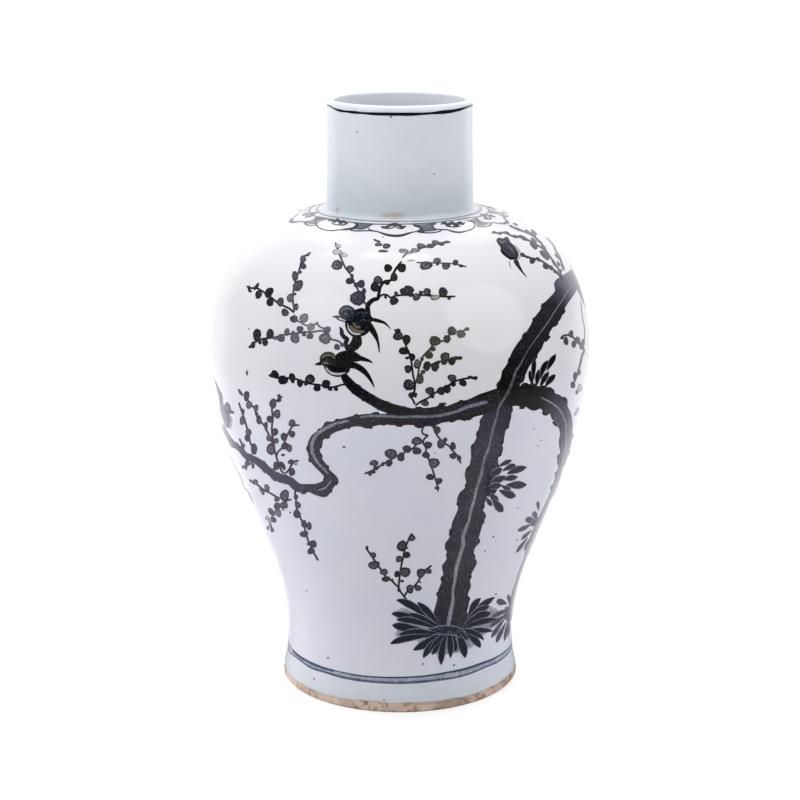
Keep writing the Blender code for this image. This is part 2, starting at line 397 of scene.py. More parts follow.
outerLine = outerToRim()
innerLine = innerWall(bodyOuter())
lineReach = farAlong(outerLine)
lineOut = squareTo(np.gradient(outerLine, lineReach, axis=0))
crestPlace = int(np.argmax(outerLine[:, 1]))


def wallRadius(reach):
    return np.interp(reach, lineReach, outerLine[:, 0])


def reachOf(height):
    # distance up the outside from the floor to a height below the lip's crest
    return np.interp(height, outerLine[:crestPlace, 1], lineReach[:crestPlace])


def wallPoint(turn, reach, lift=0.0):
    # the point at an angle round the jar (0 faces the camera) and a distance up its outside, lifted off it
    radius = wallRadius(reach) + lift * np.interp(reach, lineReach, lineOut[:, 0])
    height = np.interp(reach, lineReach, outerLine[:, 1]) + lift * np.interp(reach, lineReach, lineOut[:, 1])
    return np.stack([radius * np.sin(turn), -radius * np.cos(turn), height], -1)


def rowsBetween(line, low, high, count):
    # rows evenly spaced along a line between two heights, with a thin guard row at each end for the shading
    climb = line[: int(np.argmax(line[:, 1])) + 1]
    far = farAlong(climb)
    first, last = np.interp((low, high), climb[:, 1], far)
    guard = 0.00012
    stops = [first, first + guard, *np.linspace(first, last, count)[1:-1], last - guard, last]
    return np.stack([np.interp(stops, far, climb[:, 0]), np.interp(stops, far, climb[:, 1])], 1)


def ripple(turn, seed, waves=(3, 5, 8, 13, 21), fade=0.8):
    # a sum of cosines round the jar, each with its own phase, about 1 high
    dice = np.random.default_rng(seed)
    total = np.zeros_like(turn, dtype=float)
    for wave in waves:
        total = total + np.cos(wave * turn + dice.uniform(0, 2 * math.pi)) * (waves[0] / wave) ** fade
    return total / sum((waves[0] / wave) ** fade for wave in waves)


def putMesh(name, points, quads, triangles, material, sharp=35.0):
    mesh = bpy.data.meshes.new(name)
    mesh.vertices.add(len(points))
    mesh.vertices.foreach_set("co", np.ascontiguousarray(points, np.float32).ravel())
    corners = np.concatenate([quads.ravel(), triangles.ravel()]).astype(np.int32)
    mesh.loops.add(len(corners))
    mesh.loops.foreach_set("vertex_index", corners)
    starts = np.concatenate([np.arange(len(quads)) * 4, len(quads) * 4 + np.arange(len(triangles)) * 3])
    mesh.polygons.add(len(starts))
    mesh.polygons.foreach_set("loop_start", starts.astype(np.int32))
    mesh.update(calc_edges=True)
    mesh.materials.append(material)
    mesh.shade_smooth()
    mesh.set_sharp_from_angle(angle=math.radians(sharp))
    piece = bpy.data.objects.new(name, mesh)
    bpy.context.scene.collection.objects.link(piece)
    return piece


def setAttribute(piece, name, kind, field, values):
    made = piece.data.attributes.new(name, kind, "POINT")
    made.data.foreach_set(field, np.ascontiguousarray(values, np.float32).ravel())


noTriangles = np.zeros((0, 3), int)
turnsRound = np.linspace(0, 2 * math.pi, 224, endpoint=False)


def carried(rows):
    # (radius, height) rows, each a number or a line of them round the jar, carried round its axis
    sines, cosines = np.sin(turnsRound), np.cos(turnsRound)
    return np.array([np.stack([radius * sines, -radius * cosines, height + 0 * sines], -1)
                     for radius, height in rows])


def bands(rows, around, closed=False):
    # quads between neighbouring rows of a grid that runs round; closed joins its last row to its first
    i, j = np.meshgrid(np.arange(rows if closed else rows - 1), np.arange(around), indexing="ij")
    low, high, n = i * around, (i + 1) % rows * around, (j + 1) % around
    return np.stack([low + j, low + n, high + n, high + j], -1).reshape(-1, 4)


def ringSkin(name, rows, material, slot, *nodes):
    # a closed section carried round the jar
    points = carried(rows)
    quads = bands(len(points), len(turnsRound), closed=True)
    return settle(putMesh(name, points.reshape(-1, 3), quads, noTriangles, material), slot, *nodes)


def discSkin(name, under, over, material, slot, *nodes):
    # a slab round the axis: rows from the middle out underneath, then back in on top, closed at both poles
    rows = np.vstack([under[1:], over[:-1]])
    around = len(turnsRound)
    points = np.vstack([carried(rows).reshape(-1, 3), [[0, 0, under[0, 1]], [0, 0, over[-1, 1]]]])
    j = np.arange(around)
    n, top = (j + 1) % around, (len(rows) - 1) * around
    poles = 0 * j + len(points) - 2
    fans = np.vstack([np.stack([n, j, poles], -1), np.stack([top + j, top + n, poles + 1], -1)])
    return settle(putMesh(name, points, bands(len(rows), around), fans, material), slot, *nodes)


def settle(piece, slot, *nodes):
    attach(piece, body)
    if nodes:
        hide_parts(*nodes)
    return piece


# glaze, clay and ink, colours linear
glazeLook = {
    "white": (0.640, 0.634, 0.705),
    "cool": (0.602, 0.616, 0.700),
    "blush": (0.654, 0.638, 0.668),  # warmer from the belly up
    "neckWhite": (0.665, 0.690, 0.750),
    "neckCool": (0.640, 0.672, 0.722),
    # a greener glaze tint: pooled at the foot, and laid over the cove under the neck
    "pool": (0.400, 0.500, 0.530),
    "roughness": 0.09,
    "cloudScale": 16.0,
    "orangePeel": 260.0,
    "throwing": 95.0,
    "bump": 0.00008,
    "rust": (0.42, 0.27, 0.15),
    "grime": (0.30, 0.27, 0.23),
    "blushLow": (0.255, 0.315),  # heights over which the blush comes, and goes again
    "blushHigh": (0.425, 0.410),
    "ragged": 0.030,  # how far noise moves the edges of the foot's pooled glaze and of the cove's tint
    "footPool": (0.049, 0.019),
    "coveTint": (0.490, 0.433),
}
clayLook = {
    "pale": (0.60, 0.46, 0.38),
    "brown": (0.20, 0.098, 0.048),
    "grey": (0.38, 0.28, 0.22),
    "roughness": 0.82,
    "bump": 0.0006,
}
inkLook = {
    "black": (0.0035, 0.0030, 0.0040),
    "violet": (0.090, 0.075, 0.122),
    "blue": (0.017, 0.046, 0.112),
    "rust": (0.16, 0.085, 0.035),
    "olive": (0.105, 0.082, 0.040),
    "grain": 0.72,
    "cloud": 0.24,
    "barkScale": 400.0,
    "barkWander": (0.0050, 0.0034, 0.0),
    "barkDrawn": (0.62, 1.0, 1.0),
    "barkDark": 0.10,  # added to the tone on the bark's curls, and between them
    "barkPale": -0.07,
    "strength": 2.2,  # how fast a stroke's tone covers the white
}


anyVector = ("Vector", None)


def glazeSurfaceGroup():
    # the glaze's own skin: slow clouds of tint, a faint throwing spiral and fine orange peel as height
    white = ("Color", (1, 1, 1, 1))
    group, inside, outside = newGroup("glazeSurface", "Color", "Color", Vector=anyVector, White=white,
                                      Cool=white, Blush=white, Pool=white)
    group.interface.new_socket(name="Height", in_out="OUTPUT", socket_type="NodeSocketFloat")
    vector, look = inside["Vector"], glazeLook
    height = newNode(group, "ShaderNodeSeparateXYZ", Vector=vector).outputs["Z"]
    cloud = ease(group, noise(group, vector, look["cloudScale"], 4.0), 0.34, 0.68)
    tint = mixColour(group, cloud, inside["White"], inside["Cool"])
    warm = times(group, ease(group, height, *look["blushLow"]), ease(group, height, *look["blushHigh"]),
                 ease(group, noise(group, vector, 9.0, 3.0), 0.30, 0.60, 0.45, 1.0))
    tint = mixColour(group, warm, tint, inside["Blush"])
    ragged = plus(group, height, times(group, noise(group, vector, 45.0, 3.0), look["ragged"]))
    footPool = times(group, ease(group, ragged, *look["footPool"]), 0.42)
    overSeat = ease(group, height, jar["seatHeight"] - 0.0010, jar["seatHeight"] + 0.0005)
    # a greenish-grey tint over the cove and the foot of the neck, fading upwards
    coveTint = times(group, ease(group, ragged, *look["coveTint"]), overSeat, 0.45)
    tint = mixColour(group, maths(group, "MAXIMUM", footPool, coveTint), tint, inside["Pool"])
    spiral = maths(group, "SINE", times(group, ragged, look["throwing"] * 6.283))  # turns to radians
    peel = noise(group, vector, look["orangePeel"], 2.0)
    swell = noise(group, vector, 22.0, 2.0)
    relief = plus(group, times(group, spiral, 0.10), times(group, peel, 0.35), times(group, swell, 2.2))
    group.links.new(tint, outside["Color"])
    group.links.new(relief, outside["Height"])
    return group


def specksGroup():
    # iron specks and pinholes: rare cells of a fine grid, each a dot of its own size
    group, inside, outside = newGroup("ironSpecks", "Float", "Mask", Vector=anyVector,
                                      Scale=("Float", 60.0), Share=("Float", 0.1))
    cells = newNode(group, "ShaderNodeTexVoronoi", Vector=inside["Vector"], Scale=inside["Scale"]).outputs
    chance = newNode(group, "ShaderNodeSeparateXYZ", Vector=cells["Color"]).outputs
    chosen = maths(group, "LESS_THAN", chance["X"], inside["Share"])
    size = times(group, chance["Y"], 0.07)
    dot = ease(group, maths(group, "SUBTRACT", cells["Distance"], size), 0.030, 0.0)
    group.links.new(times(group, dot, chosen), outside["Mask"])
    return group


def rustGroup():
    # a rusty bloom in the glaze round one place, torn by noise
    group, inside, outside = newGroup("rustBloom", "Float", "Mask", Vector=anyVector, Place=anyVector,
                                      Reach=anyVector)
    offset = vectorMaths(group, "SUBTRACT", inside["Vector"], inside["Place"])
    length = vectorMaths(group, "LENGTH", vectorMaths(group, "DIVIDE", offset, inside["Reach"]))
    torn = times(group, noise(group, inside["Vector"], 160.0, 4.0), 0.9)
    group.links.new(ease(group, plus(group, length, torn), 1.45, 0.55), outside["Mask"])
    return group


def glazeSkin(tree, place, white, cool, blush):
    return placeGroup(tree, glazeSurface, Vector=place, White=colour(white), Cool=colour(cool),
                      Blush=colour(blush), Pool=colour(glazeLook["pool"]))


def surface(tree, shader, shown, roughness, height, strength=1.0, distance=glazeLook["bump"]):
    # a material's colour, polish and relief
    relief = newNode(tree, "ShaderNodeBump", Strength=strength, Distance=distance, Height=height).outputs[0]
    for name, value in (("Base Color", shown), ("Roughness", roughness), ("Normal", relief)):
        feed(tree, shader.inputs[name], value)


glazeSurface = glazeSurfaceGroup()
ironSpecks = specksGroup()
rustBloom = rustGroup()
rustPlaces = {  # where iron bled into the glaze beside the neck, metres
    "frontRust": {"Place": (-0.006, -0.0640, 0.4212), "Reach": (0.017, 0.008, 0.0040)},
    "leftRust": {"Place": (-0.0530, -0.0371, 0.4214), "Reach": (0.004, 0.008, 0.0036)},
}


def glazeMaterial(name, white, cool, blush, dirt=0.0):
    material, tree, shader = newMaterial(name)
    place = objectPlace(tree)
    skin = glazeSkin(tree, place, white, cool, blush)
    dots = placeGroup(tree, ironSpecks, Vector=place, Scale=95.0, Share=0.030)["Mask"]
    shown = mixColour(tree, times(tree, dots, 0.55), skin["Color"], colour(inkLook["rust"]))
    for bloom in rustPlaces.values():
        mask = placeGroup(tree, rustBloom, Vector=place, **bloom)["Mask"]
        shown = mixColour(tree, times(tree, mask, 0.62), shown, colour(glazeLook["rust"]))
    if dirt:
        grime = ease(tree, noise(tree, place, 30.0, 5.0), 0.45, 0.75, 0.0, dirt)
        shown = mixColour(tree, grime, shown, colour(glazeLook["grime"]))
    surface(tree, shader, shown, glazeLook["roughness"], skin["Height"])
    return material


def inkMaterial():
    # painting under the glaze: paint = (tone, hue, violet, bark), where hue runs from olive at -1 through
    # black at 0 to blue at 1; run = (along, across) in metres for the bark
    material, tree, shader = newMaterial("brushInk")
    place, look = objectPlace(tree), inkLook
    paint, run = tree.nodes.new("ShaderNodeAttribute"), tree.nodes.new("ShaderNodeAttribute")
    paint.attribute_name, run.attribute_name = "paint", "run"
    run = run.outputs["Vector"]
    tone, hue, violet = newNode(tree, "ShaderNodeSeparateColor", Color=paint.outputs["Color"]).outputs
    skin = glazeSkin(tree, place, glazeLook["white"], glazeLook["cool"], glazeLook["blush"])
    shade = mixColour(tree, hue, colour(look["black"]), colour(look["blue"]))
    shade = mixColour(tree, maths(tree, "MULTIPLY", hue, -1.0, clamp=True), shade, colour(look["olive"]))
    shade = mixColour(tree, violet, shade, colour(look["violet"]))
    grain = maths(tree, "SUBTRACT", noise(tree, place, 560.0, 3.0), 0.5)
    cloud = maths(tree, "SUBTRACT", noise(tree, place, 75.0, 3.0), 0.5)
    shift = plus(tree, times(tree, grain, look["grain"]), times(tree, cloud, look["cloud"]))
    wander = newNode(tree, "ShaderNodeTexNoise", Vector=run, Scale=260.0, Detail=2.0).outputs["Color"]
    bent = vectorMaths(tree, "MULTIPLY_ADD", wander, look["barkWander"], run)
    drawn = vectorMaths(tree, "MULTIPLY", bent, look["barkDrawn"])
    scales = newNode(tree, "ShaderNodeTexVoronoi", Vector=drawn, Scale=look["barkScale"], Randomness=1.0)
    scales.feature = "DISTANCE_TO_EDGE"
    curls = ease(tree, scales.outputs["Distance"], 0.02, 0.16, look["barkDark"], look["barkPale"])
    bark = times(tree, curls, paint.outputs["Alpha"])
    tone = maths(tree, "ADD", plus(tree, tone, shift), bark, clamp=True)
    bare = maths(tree, "POWER", maths(tree, "SUBTRACT", 1.0, tone), look["strength"])
    surface(tree, shader, mixColour(tree, bare, shade, skin["Color"]), glazeLook["roughness"], skin["Height"])
    return material


def clayMaterial(name, pale, brown, grey):
    # bare fired clay: kiln-browned patches, dark scuffs low down, grit and pits as height
    material, tree, shader = newMaterial(name)
    place = objectPlace(tree)
    patch = ease(tree, noise(tree, place, 28.0, 5.0), 0.38, 0.66)
    scuff = ease(tree, noise(tree, place, 120.0, 6.0, 0.7), 0.47, 0.62)
    shown = mixColour(tree, patch, colour(pale), colour(grey))
    shown = mixColour(tree, times(tree, scuff, 0.85), shown, colour(brown))
    pits = newNode(tree, "ShaderNodeTexVoronoi", Vector=place, Scale=520.0).outputs["Distance"]
    grit = plus(tree, noise(tree, place, 700.0, 4.0), ease(tree, pits, 0.0, 0.25, -0.6, 0.0))
    surface(tree, shader, shown, clayLook["roughness"], grit, 0.9, clayLook["bump"])
    return material


bodyGlaze = glazeMaterial("bodyGlaze", glazeLook["white"], glazeLook["cool"], glazeLook["blush"])
neckWhite, neckCool = glazeLook["neckWhite"], glazeLook["neckCool"]
neckGlaze = glazeMaterial("neckGlaze", neckWhite, neckCool, neckWhite, dirt=0.06)
inkPaint = inkMaterial()
bareClay = clayMaterial("bareClay", clayLook["pale"], clayLook["brown"], clayLook["grey"])
firedSlip = clayMaterial("firedSlip", (0.62, 0.58, 0.52), (0.40, 0.34, 0.28), (0.56, 0.54, 0.50))
print("glaze, clay and ink mixed")


def cameraRays(picks):
    tilt, focal, middle = photoView["tiltDown"], photoView["focal"], photoView["middle"]
    right = (picks[:, 0] - middle) / focal
    up = (middle - picks[:, 1]) / focal
    return np.stack([right, math.cos(tilt) + up * math.sin(tilt), up * math.cos(tilt) - math.sin(tilt)], 1)


def onWall(picks):
    # follows each photo pixel's ray out of the camera until it is nearer the axis than the wall is;
    # a ray that passes beside the jar takes the place where it comes nearest
    picks = np.asarray(picks, float)[:, :2]
    steps = np.linspace(1.30, 1.98, 1701)  # metres from the camera
    found = []
    for some in np.array_split(picks, max(1, len(picks) // 400)):
        points = np.array(photoView["place"]) + cameraRays(some)[:, None, :] * steps[:, None]
        wall = np.interp(points[..., 2], outerLine[:crestPlace, 1], outerLine[:crestPlace, 0])
        clear = np.hypot(points[..., 0], points[..., 1]) - wall
        inside = clear < 0
        hit = inside.any(1)
        place = np.where(hit, inside.argmax(1), clear.argmin(1))
        row = np.arange(len(some))
        before, after = clear[row, np.maximum(place - 1, 0)], clear[row, place]
        share = np.where(hit, before / np.maximum(before - after, 1e-12), 1.0)[:, None]
        found.append(points[row, np.maximum(place - 1, 0)] * (1 - share) + points[row, place] * share)
    found = np.vstack(found)
    return np.arctan2(found[:, 0], -found[:, 1]), reachOf(found[:, 2])


def photoPixel(points):
    place, tilt = np.array(photoView["place"]), photoView["tiltDown"]
    across, away, up = np.moveaxis(points - place, -1, 0)
    depth = away * math.cos(tilt) - up * math.sin(tilt)
    rise = away * math.sin(tilt) + up * math.cos(tilt)
    return np.stack([photoView["middle"] + photoView["focal"] * across / depth,
                     photoView["middle"] - photoView["focal"] * rise / depth], -1)


def offsetsOnWall(turn, reach, pixels):
    # turns small pixel steps (last axis x, y) at wall places into metres round and up the wall,
    # damped where the wall is seen edge-on
    step = 0.0005
    start = photoPixel(wallPoint(turn, reach))
    acrossStep = (photoPixel(wallPoint(turn + step / wallRadius(reach), reach)) - start) / step
    upStep = (photoPixel(wallPoint(turn, reach + step)) - start) / step
    damp = (photoView["focal"] * 0.18) ** 2
    aa = (acrossStep ** 2).sum(-1) + damp * 0.05
    bb = (upStep ** 2).sum(-1) + damp * 0.05
    ab = (acrossStep * upStep).sum(-1)
    pa = (acrossStep * pixels).sum(-1)
    pb = (upStep * pixels).sum(-1)
    spread = aa * bb - ab ** 2
    return np.stack([(pa * bb - pb * ab) / spread, (pb * aa - pa * ab) / spread], -1)


def smoothLine(points, step):
    # cubic through the points: each span leaves and arrives on the slope between its neighbours
    points = np.asarray(points, float)
    gaps = np.maximum(np.linalg.norm(np.diff(points[:, :2], axis=0), axis=1), 1e-9)
    knots = np.concatenate([[0.0], np.cumsum(gaps)])
    slopes = np.gradient(points, knots, axis=0)
    stops = np.linspace(0.0, knots[-1], max(5, int(knots[-1] / step) + 2))
    span = np.clip(np.searchsorted(knots, stops, side="right") - 1, 0, len(gaps) - 1)
    t = ((stops - knots[span]) / gaps[span])[:, None]
    long = gaps[span][:, None]
    return ((2 * t ** 3 - 3 * t ** 2 + 1) * points[span] + (t ** 3 - 2 * t ** 2 + t) * long * slopes[span]
            + (3 * t ** 2 - 2 * t ** 3) * points[span + 1] + (t ** 3 - t ** 2) * long * slopes[span + 1])


film = {
    "base": 0.00005,  # metres above the wall, and what each layer adds
    "layer": 0.00004,
    "shuffle": 0.0000006,
    "rise": 0.000002,
    "sink": 0.00020,  # how deep the sides go into the wall, and how much deeper the broad boughs' sides
    "boughSink": 0.0010,
    "ringGap": 4.0,  # pixels between the rings of a patch
    "thinnestEnd": 0.06,
    "mapGap": 0.0006,
}


def ringed(grid):
    # adds each station's two lower corners to its row of columns
    return np.concatenate([grid, grid[:, [-1, 0]]], 1).reshape(-1, grid.shape[-1])


class Brushwork:
    # gathers closed films of paint and makes them one piece
    def __init__(self, name):
        self.name = name
        self.points, self.quads, self.triangles, self.paint, self.run, self.flat = [], [], [], [], [], []
        self.cells = []
        self.count = 0
        self.strokes = 0
        self.moveTo()

    def moveTo(self, about=0.0, to=0.0, climb=0.0, mirrored=False):
        # the strokes that follow are carried round the jar from one angle to another, up or down it by climb,
        # and left-right reversed if wanted
        self.about, self.to = math.radians(about), math.radians(to)
        self.climb, self.mirrored = climb, mirrored

    def carry(self, root, to, height, mirrored=False):
        # the same, given the photo pixel that the strokes grow from and where it comes, degrees round and
        # metres up
        turn, reach = onWall([root])
        self.moveTo(math.degrees(turn[0]), to, float(reachOf(height) - reach[0]), mirrored)

    def wall(self, turn, reach, lift):
        side = -1.0 if self.mirrored else 1.0
        far = (turn - self.about) * wallRadius(reach) * side
        return wallPoint(self.to + far / wallRadius(reach + self.climb), reach + self.climb, lift)

    def lift(self, layer):
        # each film lies a few thousandths of a millimetre above the one before, so none share a face
        self.strokes += 1
        return film["base"] + layer * film["layer"] + (self.strokes % 9) * film["shuffle"]

    def add(self, points, quads, triangles, paint, run, flat, films=1):
        if self.mirrored:
            quads, triangles = quads[:, ::-1], triangles[:, ::-1]
        self.points.append(points)
        self.quads.append(quads + self.count)
        self.triangles.append(triangles + self.count)
        self.paint.append(paint)
        self.run.append(run)
        self.flat.append(flat)
        size = len(points) // films
        self.cells += [(self.count + each * size, size) for each in range(films)]
        self.count += len(points)

    def sheet(self, turn, reach, values, run, layer, sink=film["sink"]):
        # closes a grid of wall places, stations along and columns across, into a film: its sides drop into
        # the wall and fans close its two ends
        middle = turn.shape[1] // 2
        alongU = np.gradient(turn[:, middle]) * wallRadius(reach[:, middle])
        alongV = np.gradient(reach[:, middle])
        sideU = (turn[:, -1] - turn[:, 0]) * wallRadius(reach[:, middle])
        sideV = reach[:, -1] - reach[:, 0]
        if (sideU * alongV - sideV * alongU).sum() < 0:
            turn, reach, values, run = turn[:, ::-1], reach[:, ::-1], values[:, ::-1], run[:, ::-1]
        stations, columns = turn.shape
        lifts = self.lift(layer) + np.linspace(0, film["rise"], stations)[:, None]
        top = self.wall(turn, reach, lifts)
        under = self.wall(turn[:, [-1, 0]], reach[:, [-1, 0]], -sink)
        ring = columns + 2
        j = np.arange(1, ring - 1)
        last = (stations - 1) * ring
        start, stop = np.stack([0 * j, j + 1, j], -1), np.stack([0 * j, j, j + 1], -1) + last
        caps = np.vstack([start, stop])
        points = np.concatenate([top, under], 1).reshape(-1, 3)
        self.add(points, bands(stations, ring), caps, ringed(values), ringed(run), ringed(run[..., :2]))

    def ribbon(self, turn, reach, offset, paint, layer=1, columns=5, edgeTone=0.80, middleTone=1.0):
        # a strip of the wall along a line: across runs from -1 to 1 times the half-width offset on each side
        across = np.linspace(-1, 1, columns)
        stations, many = len(turn), len(across)
        turns = turn[:, None] + across * (offset[:, 0] / wallRadius(reach))[:, None]
        reaches = reach[:, None] + across * offset[:, 1][:, None]
        paint = np.asarray(paint, float).reshape(-1, 4)  # one ink, or several that it passes through
        share, inks = np.linspace(0, 1, stations), np.linspace(0, 1, len(paint))
        paint = np.stack([np.interp(share, inks, paint[:, k]) for k in range(4)], 1)
        values = np.repeat(paint[:, None], many, 1)
        values[:, [0, -1], 0] *= edgeTone
        values[:, many // 2, 0] *= middleTone
        gone = np.cumsum(np.hypot(np.gradient(turn) * wallRadius(reach), np.gradient(reach)))
        wide = across * np.hypot(offset[:, 0], offset[:, 1])[:, None]
        run = np.stack([gone[:, None] + 0 * wide, wide, 0 * wide + self.strokes * 0.37], -1)
        self.sheet(turns, reaches, values, run, layer)

    def stroke(self, line, paint, width=2.0, ends=(2.0, 2.0), step=1.6, **look):
        # a brush stroke through photo pixels (x, y), or (x, y, width), with its ends rounded over two lengths
        line = smoothLine(line, step)
        turn, reach = onWall(line)
        side = squareTo(np.gradient(line[:, :2], axis=0))
        half = (line[:, 2] if line.shape[1] > 2 else width) / 2 * roundedEnds(line[:, :2], ends)
        self.ribbon(turn, reach, offsetsOnWall(turn, reach, side * half[:, None]), paint, **look)

    def wallStroke(self, line, paint, ends=(2.0, 2.0), step=1.6, **look):
        # the same out of the camera's sight, through (degrees round, millimetres up, width in millimetres)
        perDegree = 2.5  # millimetres round, so that the steps are even
        line = smoothLine(np.array(line) * (perDegree, 1.0, 1.0), step)
        turn, reach = np.radians(line[:, 0] / perDegree), reachOf(line[:, 1] / 1000)
        side = squareTo(np.stack([np.gradient(turn) * wallRadius(reach), np.gradient(reach)], 1))
        half = line[:, 2] / 2000 * roundedEnds(line[:, :2], ends)
        self.ribbon(turn, reach, side * half[:, None], paint, **look)

    def lineRound(self, picks, paint, seed, wander=0.0004, **look):
        # a line painted all the way round: photo pixels (x, y, width) in front, and behind a wandering line
        # that joins their two ends and laps over its own start
        line = smoothLine(picks, 3.0)
        turn, reach = onWall(line)
        away = 1.75  # metres from the camera, about
        wide = line[:, 2] / photoView["focal"] * away
        behind = np.linspace(turn[-1], turn[0] + 2 * math.pi, 150)[1:]
        share = np.linspace(0, 1, 150)[1:]
        swing = ripple(behind, seed) * wander * np.sin(share * math.pi)
        turn = np.concatenate([turn, behind])
        reach = np.concatenate([reach, reach[-1] * (1 - share) + reach[0] * share + swing])
        swell = 0.3 * wander * ripple(behind, seed + 1)
        wide = np.concatenate([wide, wide[-1] * (1 - share) + wide[0] * share + swell])
        offset = np.stack([0 * wide, wide / 2], -1)
        self.ribbon(turn, reach, offset, paint, **look)

    def discs(self, centres, halves, tones, paint, seed, layer=2, wobble=0.07, sectors=9,
              rings=(0.35, 0.62, 0.82, 1.0)):
        # many blossoms at once: rings of sectors round each centre along its two half axes in photo pixels,
        # with a wavering rim and an inner tone set a little off the middle
        dice = np.random.default_rng(seed)
        turn, reach = onWall(centres)
        firstAxis = offsetsOnWall(turn, reach, halves[:, 0])
        secondAxis = offsetsOnWall(turn, reach, halves[:, 1])
        facing = np.sign(firstAxis[:, 0] * secondAxis[:, 1] - firstAxis[:, 1] * secondAxis[:, 0])
        secondAxis = secondAxis * facing[:, None]
        many, angles = len(turn), np.linspace(0, 2 * math.pi, sectors, endpoint=False)
        rings = np.array(rings)
        phase = dice.uniform(0, 2 * math.pi, (many, 2, 1))
        rim = 1 + wobble * np.cos(2 * angles + phase[:, 0]) + wobble * np.cos(3 * angles + phase[:, 1])
        spread = rings[None, :, None] * rim[:, None, :]
        shift = dice.uniform(-0.22, 0.22, (many, 2))[:, None, None, :] * (1 - rings)[None, :, None, None]
        first = spread * np.cos(angles) + shift[..., 0]
        second = spread * np.sin(angles) + shift[..., 1]
        firstAxis, secondAxis = firstAxis[:, None, None, :], secondAxis[:, None, None, :]
        offset = first[..., None] * firstAxis + second[..., None] * secondAxis
        turns = turn[:, None, None] + offset[..., 0] / wallRadius(reach)[:, None, None]
        reaches = reach[:, None, None] + offset[..., 1]
        lifts = np.array([self.lift(layer) for each in range(many)])[:, None]
        rows = turns.reshape(many, -1), reaches.reshape(many, -1)
        hub = turn[:, None], reach[:, None]
        points = np.concatenate([self.wall(*rows, lifts), self.wall(*hub, lifts),
                                 self.wall(turns[:, -1], reaches[:, -1], -film["sink"]),
                                 self.wall(*hub, -film["sink"])], 1)
        quads, fans = discFaces(len(rings), sectors)
        starts = (np.arange(many) * points.shape[1])[:, None, None]
        paint = np.asarray(paint, float).reshape(-1, 1, 4)
        values = np.broadcast_to(paint, (many, points.shape[1], 4)).copy()
        values[..., 0] *= discTones(tones, sectors)
        plain = offset.reshape(many, -1, 2)
        none = 0 * plain[:, :1]
        flat = np.concatenate([plain, none, plain[:, -sectors:], none], 1).reshape(-1, 2)
        quads, fans = (quads[None] + starts).reshape(-1, 4), (fans[None] + starts).reshape(-1, 3)
        self.add(points.reshape(-1, 3), quads, fans, values.reshape(-1, 4),
                 np.column_stack([flat, 0 * flat[:, :1]]), flat, many)

    def patch(self, outline, paint, tones=(1.0,) * 5, layer=1, step=1.4, middle=None):
        # a filled shape: rings shrunk from a smooth closed outline of photo pixels towards its middle, close
        # enough to follow the curved wall; its tones run from the middle out
        outline = np.asarray(outline, float)
        closed = smoothLine(np.vstack([outline, outline[:1]]), step)[:-1]
        shoelace = (closed[:, 0] * np.roll(closed[:, 1], -1) - np.roll(closed[:, 0], -1) * closed[:, 1]).sum()
        if shoelace > 0:  # pixel rows run downwards
            closed = closed[::-1]
        centre = outline.mean(0) if middle is None else np.asarray(middle, float)
        hub = onWall(centre[None])
        count = max(4, math.ceil(np.linalg.norm(closed - centre, axis=1).max() / film["ringGap"]))
        rings = np.linspace(0, 1, count + 1)[1:]
        tones = np.interp([0, *rings], (0, 0.35, 0.65, 0.88, 1), tones)
        grid = centre + rings[:, None, None] * (closed - centre)
        turn, reach = onWall(grid.reshape(-1, 2))
        sectors = len(closed)
        lift = self.lift(layer)
        rim = turn[-sectors:], reach[-sectors:]
        points = np.vstack([self.wall(turn, reach, lift), self.wall(*hub, lift),
                            self.wall(*rim, -film["sink"]), self.wall(*hub, -film["sink"])])
        quads, fans = discFaces(len(rings), sectors)
        values = np.tile(np.asarray(paint, float), (len(points), 1))
        values[:, 0] *= discTones(tones, sectors)
        flat = np.vstack([grid.reshape(-1, 2), centre, closed, centre]) / photoView["focal"] * 1.7
        self.add(points, quads, fans, values, np.column_stack([flat, 0 * flat[:, :1]]), flat)

    def layMap(self):
        # lays every film on a place of its own on the bake's map, row by row from the tallest down
        flat = np.vstack(self.flat)
        spans = np.array([[*flat[a:a + n].min(0), *np.ptp(flat[a:a + n], axis=0)] for a, n in self.cells])
        wide, tall = spans[:, 2] + film["mapGap"], spans[:, 3] + film["mapGap"]
        width = max(wide.max(), math.sqrt((wide * tall).sum()) * 1.03)
        x, y, row = 0.0, 0.0, 0.0
        for each in np.argsort(-tall):
            if x + wide[each] > width:
                x, y, row = 0.0, y + row, 0.0
            start, size = self.cells[each]
            flat[start:start + size] += np.array([x, y]) + film["mapGap"] / 2 - spans[each, :2]
            x, row = x + wide[each], max(row, tall[each])
        return flat / (width, y + row)

    def finish(self):
        points, quads = np.vstack(self.points), np.vstack(self.quads)
        triangles = np.vstack(self.triangles)
        piece = putMesh(self.name, points, quads, triangles, inkPaint, sharp=40.0)
        setAttribute(piece, "paint", "FLOAT_COLOR", "color", np.vstack(self.paint))
        setAttribute(piece, "run", "FLOAT_VECTOR", "vector", np.vstack(self.run))
        corners = np.concatenate([quads.ravel(), triangles.ravel()])
        places = piece.data.uv_layers.new(name="OFBake").uv
        places.foreach_set("vector", self.layMap()[corners].astype(np.float32).ravel())
        settle(piece, "glaze")
        print(self.name, "painted,", 2 * len(quads) + len(triangles), "triangles")


def discFaces(rings, sectors):
    # quads between rings, then down the skirt, with a fan on top and one underneath
    j = np.arange(sectors)
    n = (j + 1) % sectors
    hub, edge = rings * sectors, (rings - 1) * sectors
    skirt, pit = hub + 1, hub + 1 + sectors
    quads = [np.stack([k * sectors + j, (k + 1) * sectors + j, (k + 1) * sectors + n, k * sectors + n], -1)
             for k in range(rings - 1)]
    quads.append(np.stack([edge + j, skirt + j, skirt + n, edge + n], -1))
    fans = [np.stack([0 * j + hub, j, n], -1), np.stack([0 * j + pit, skirt + n, skirt + j], -1)]
    return np.vstack(quads), np.vstack(fans)


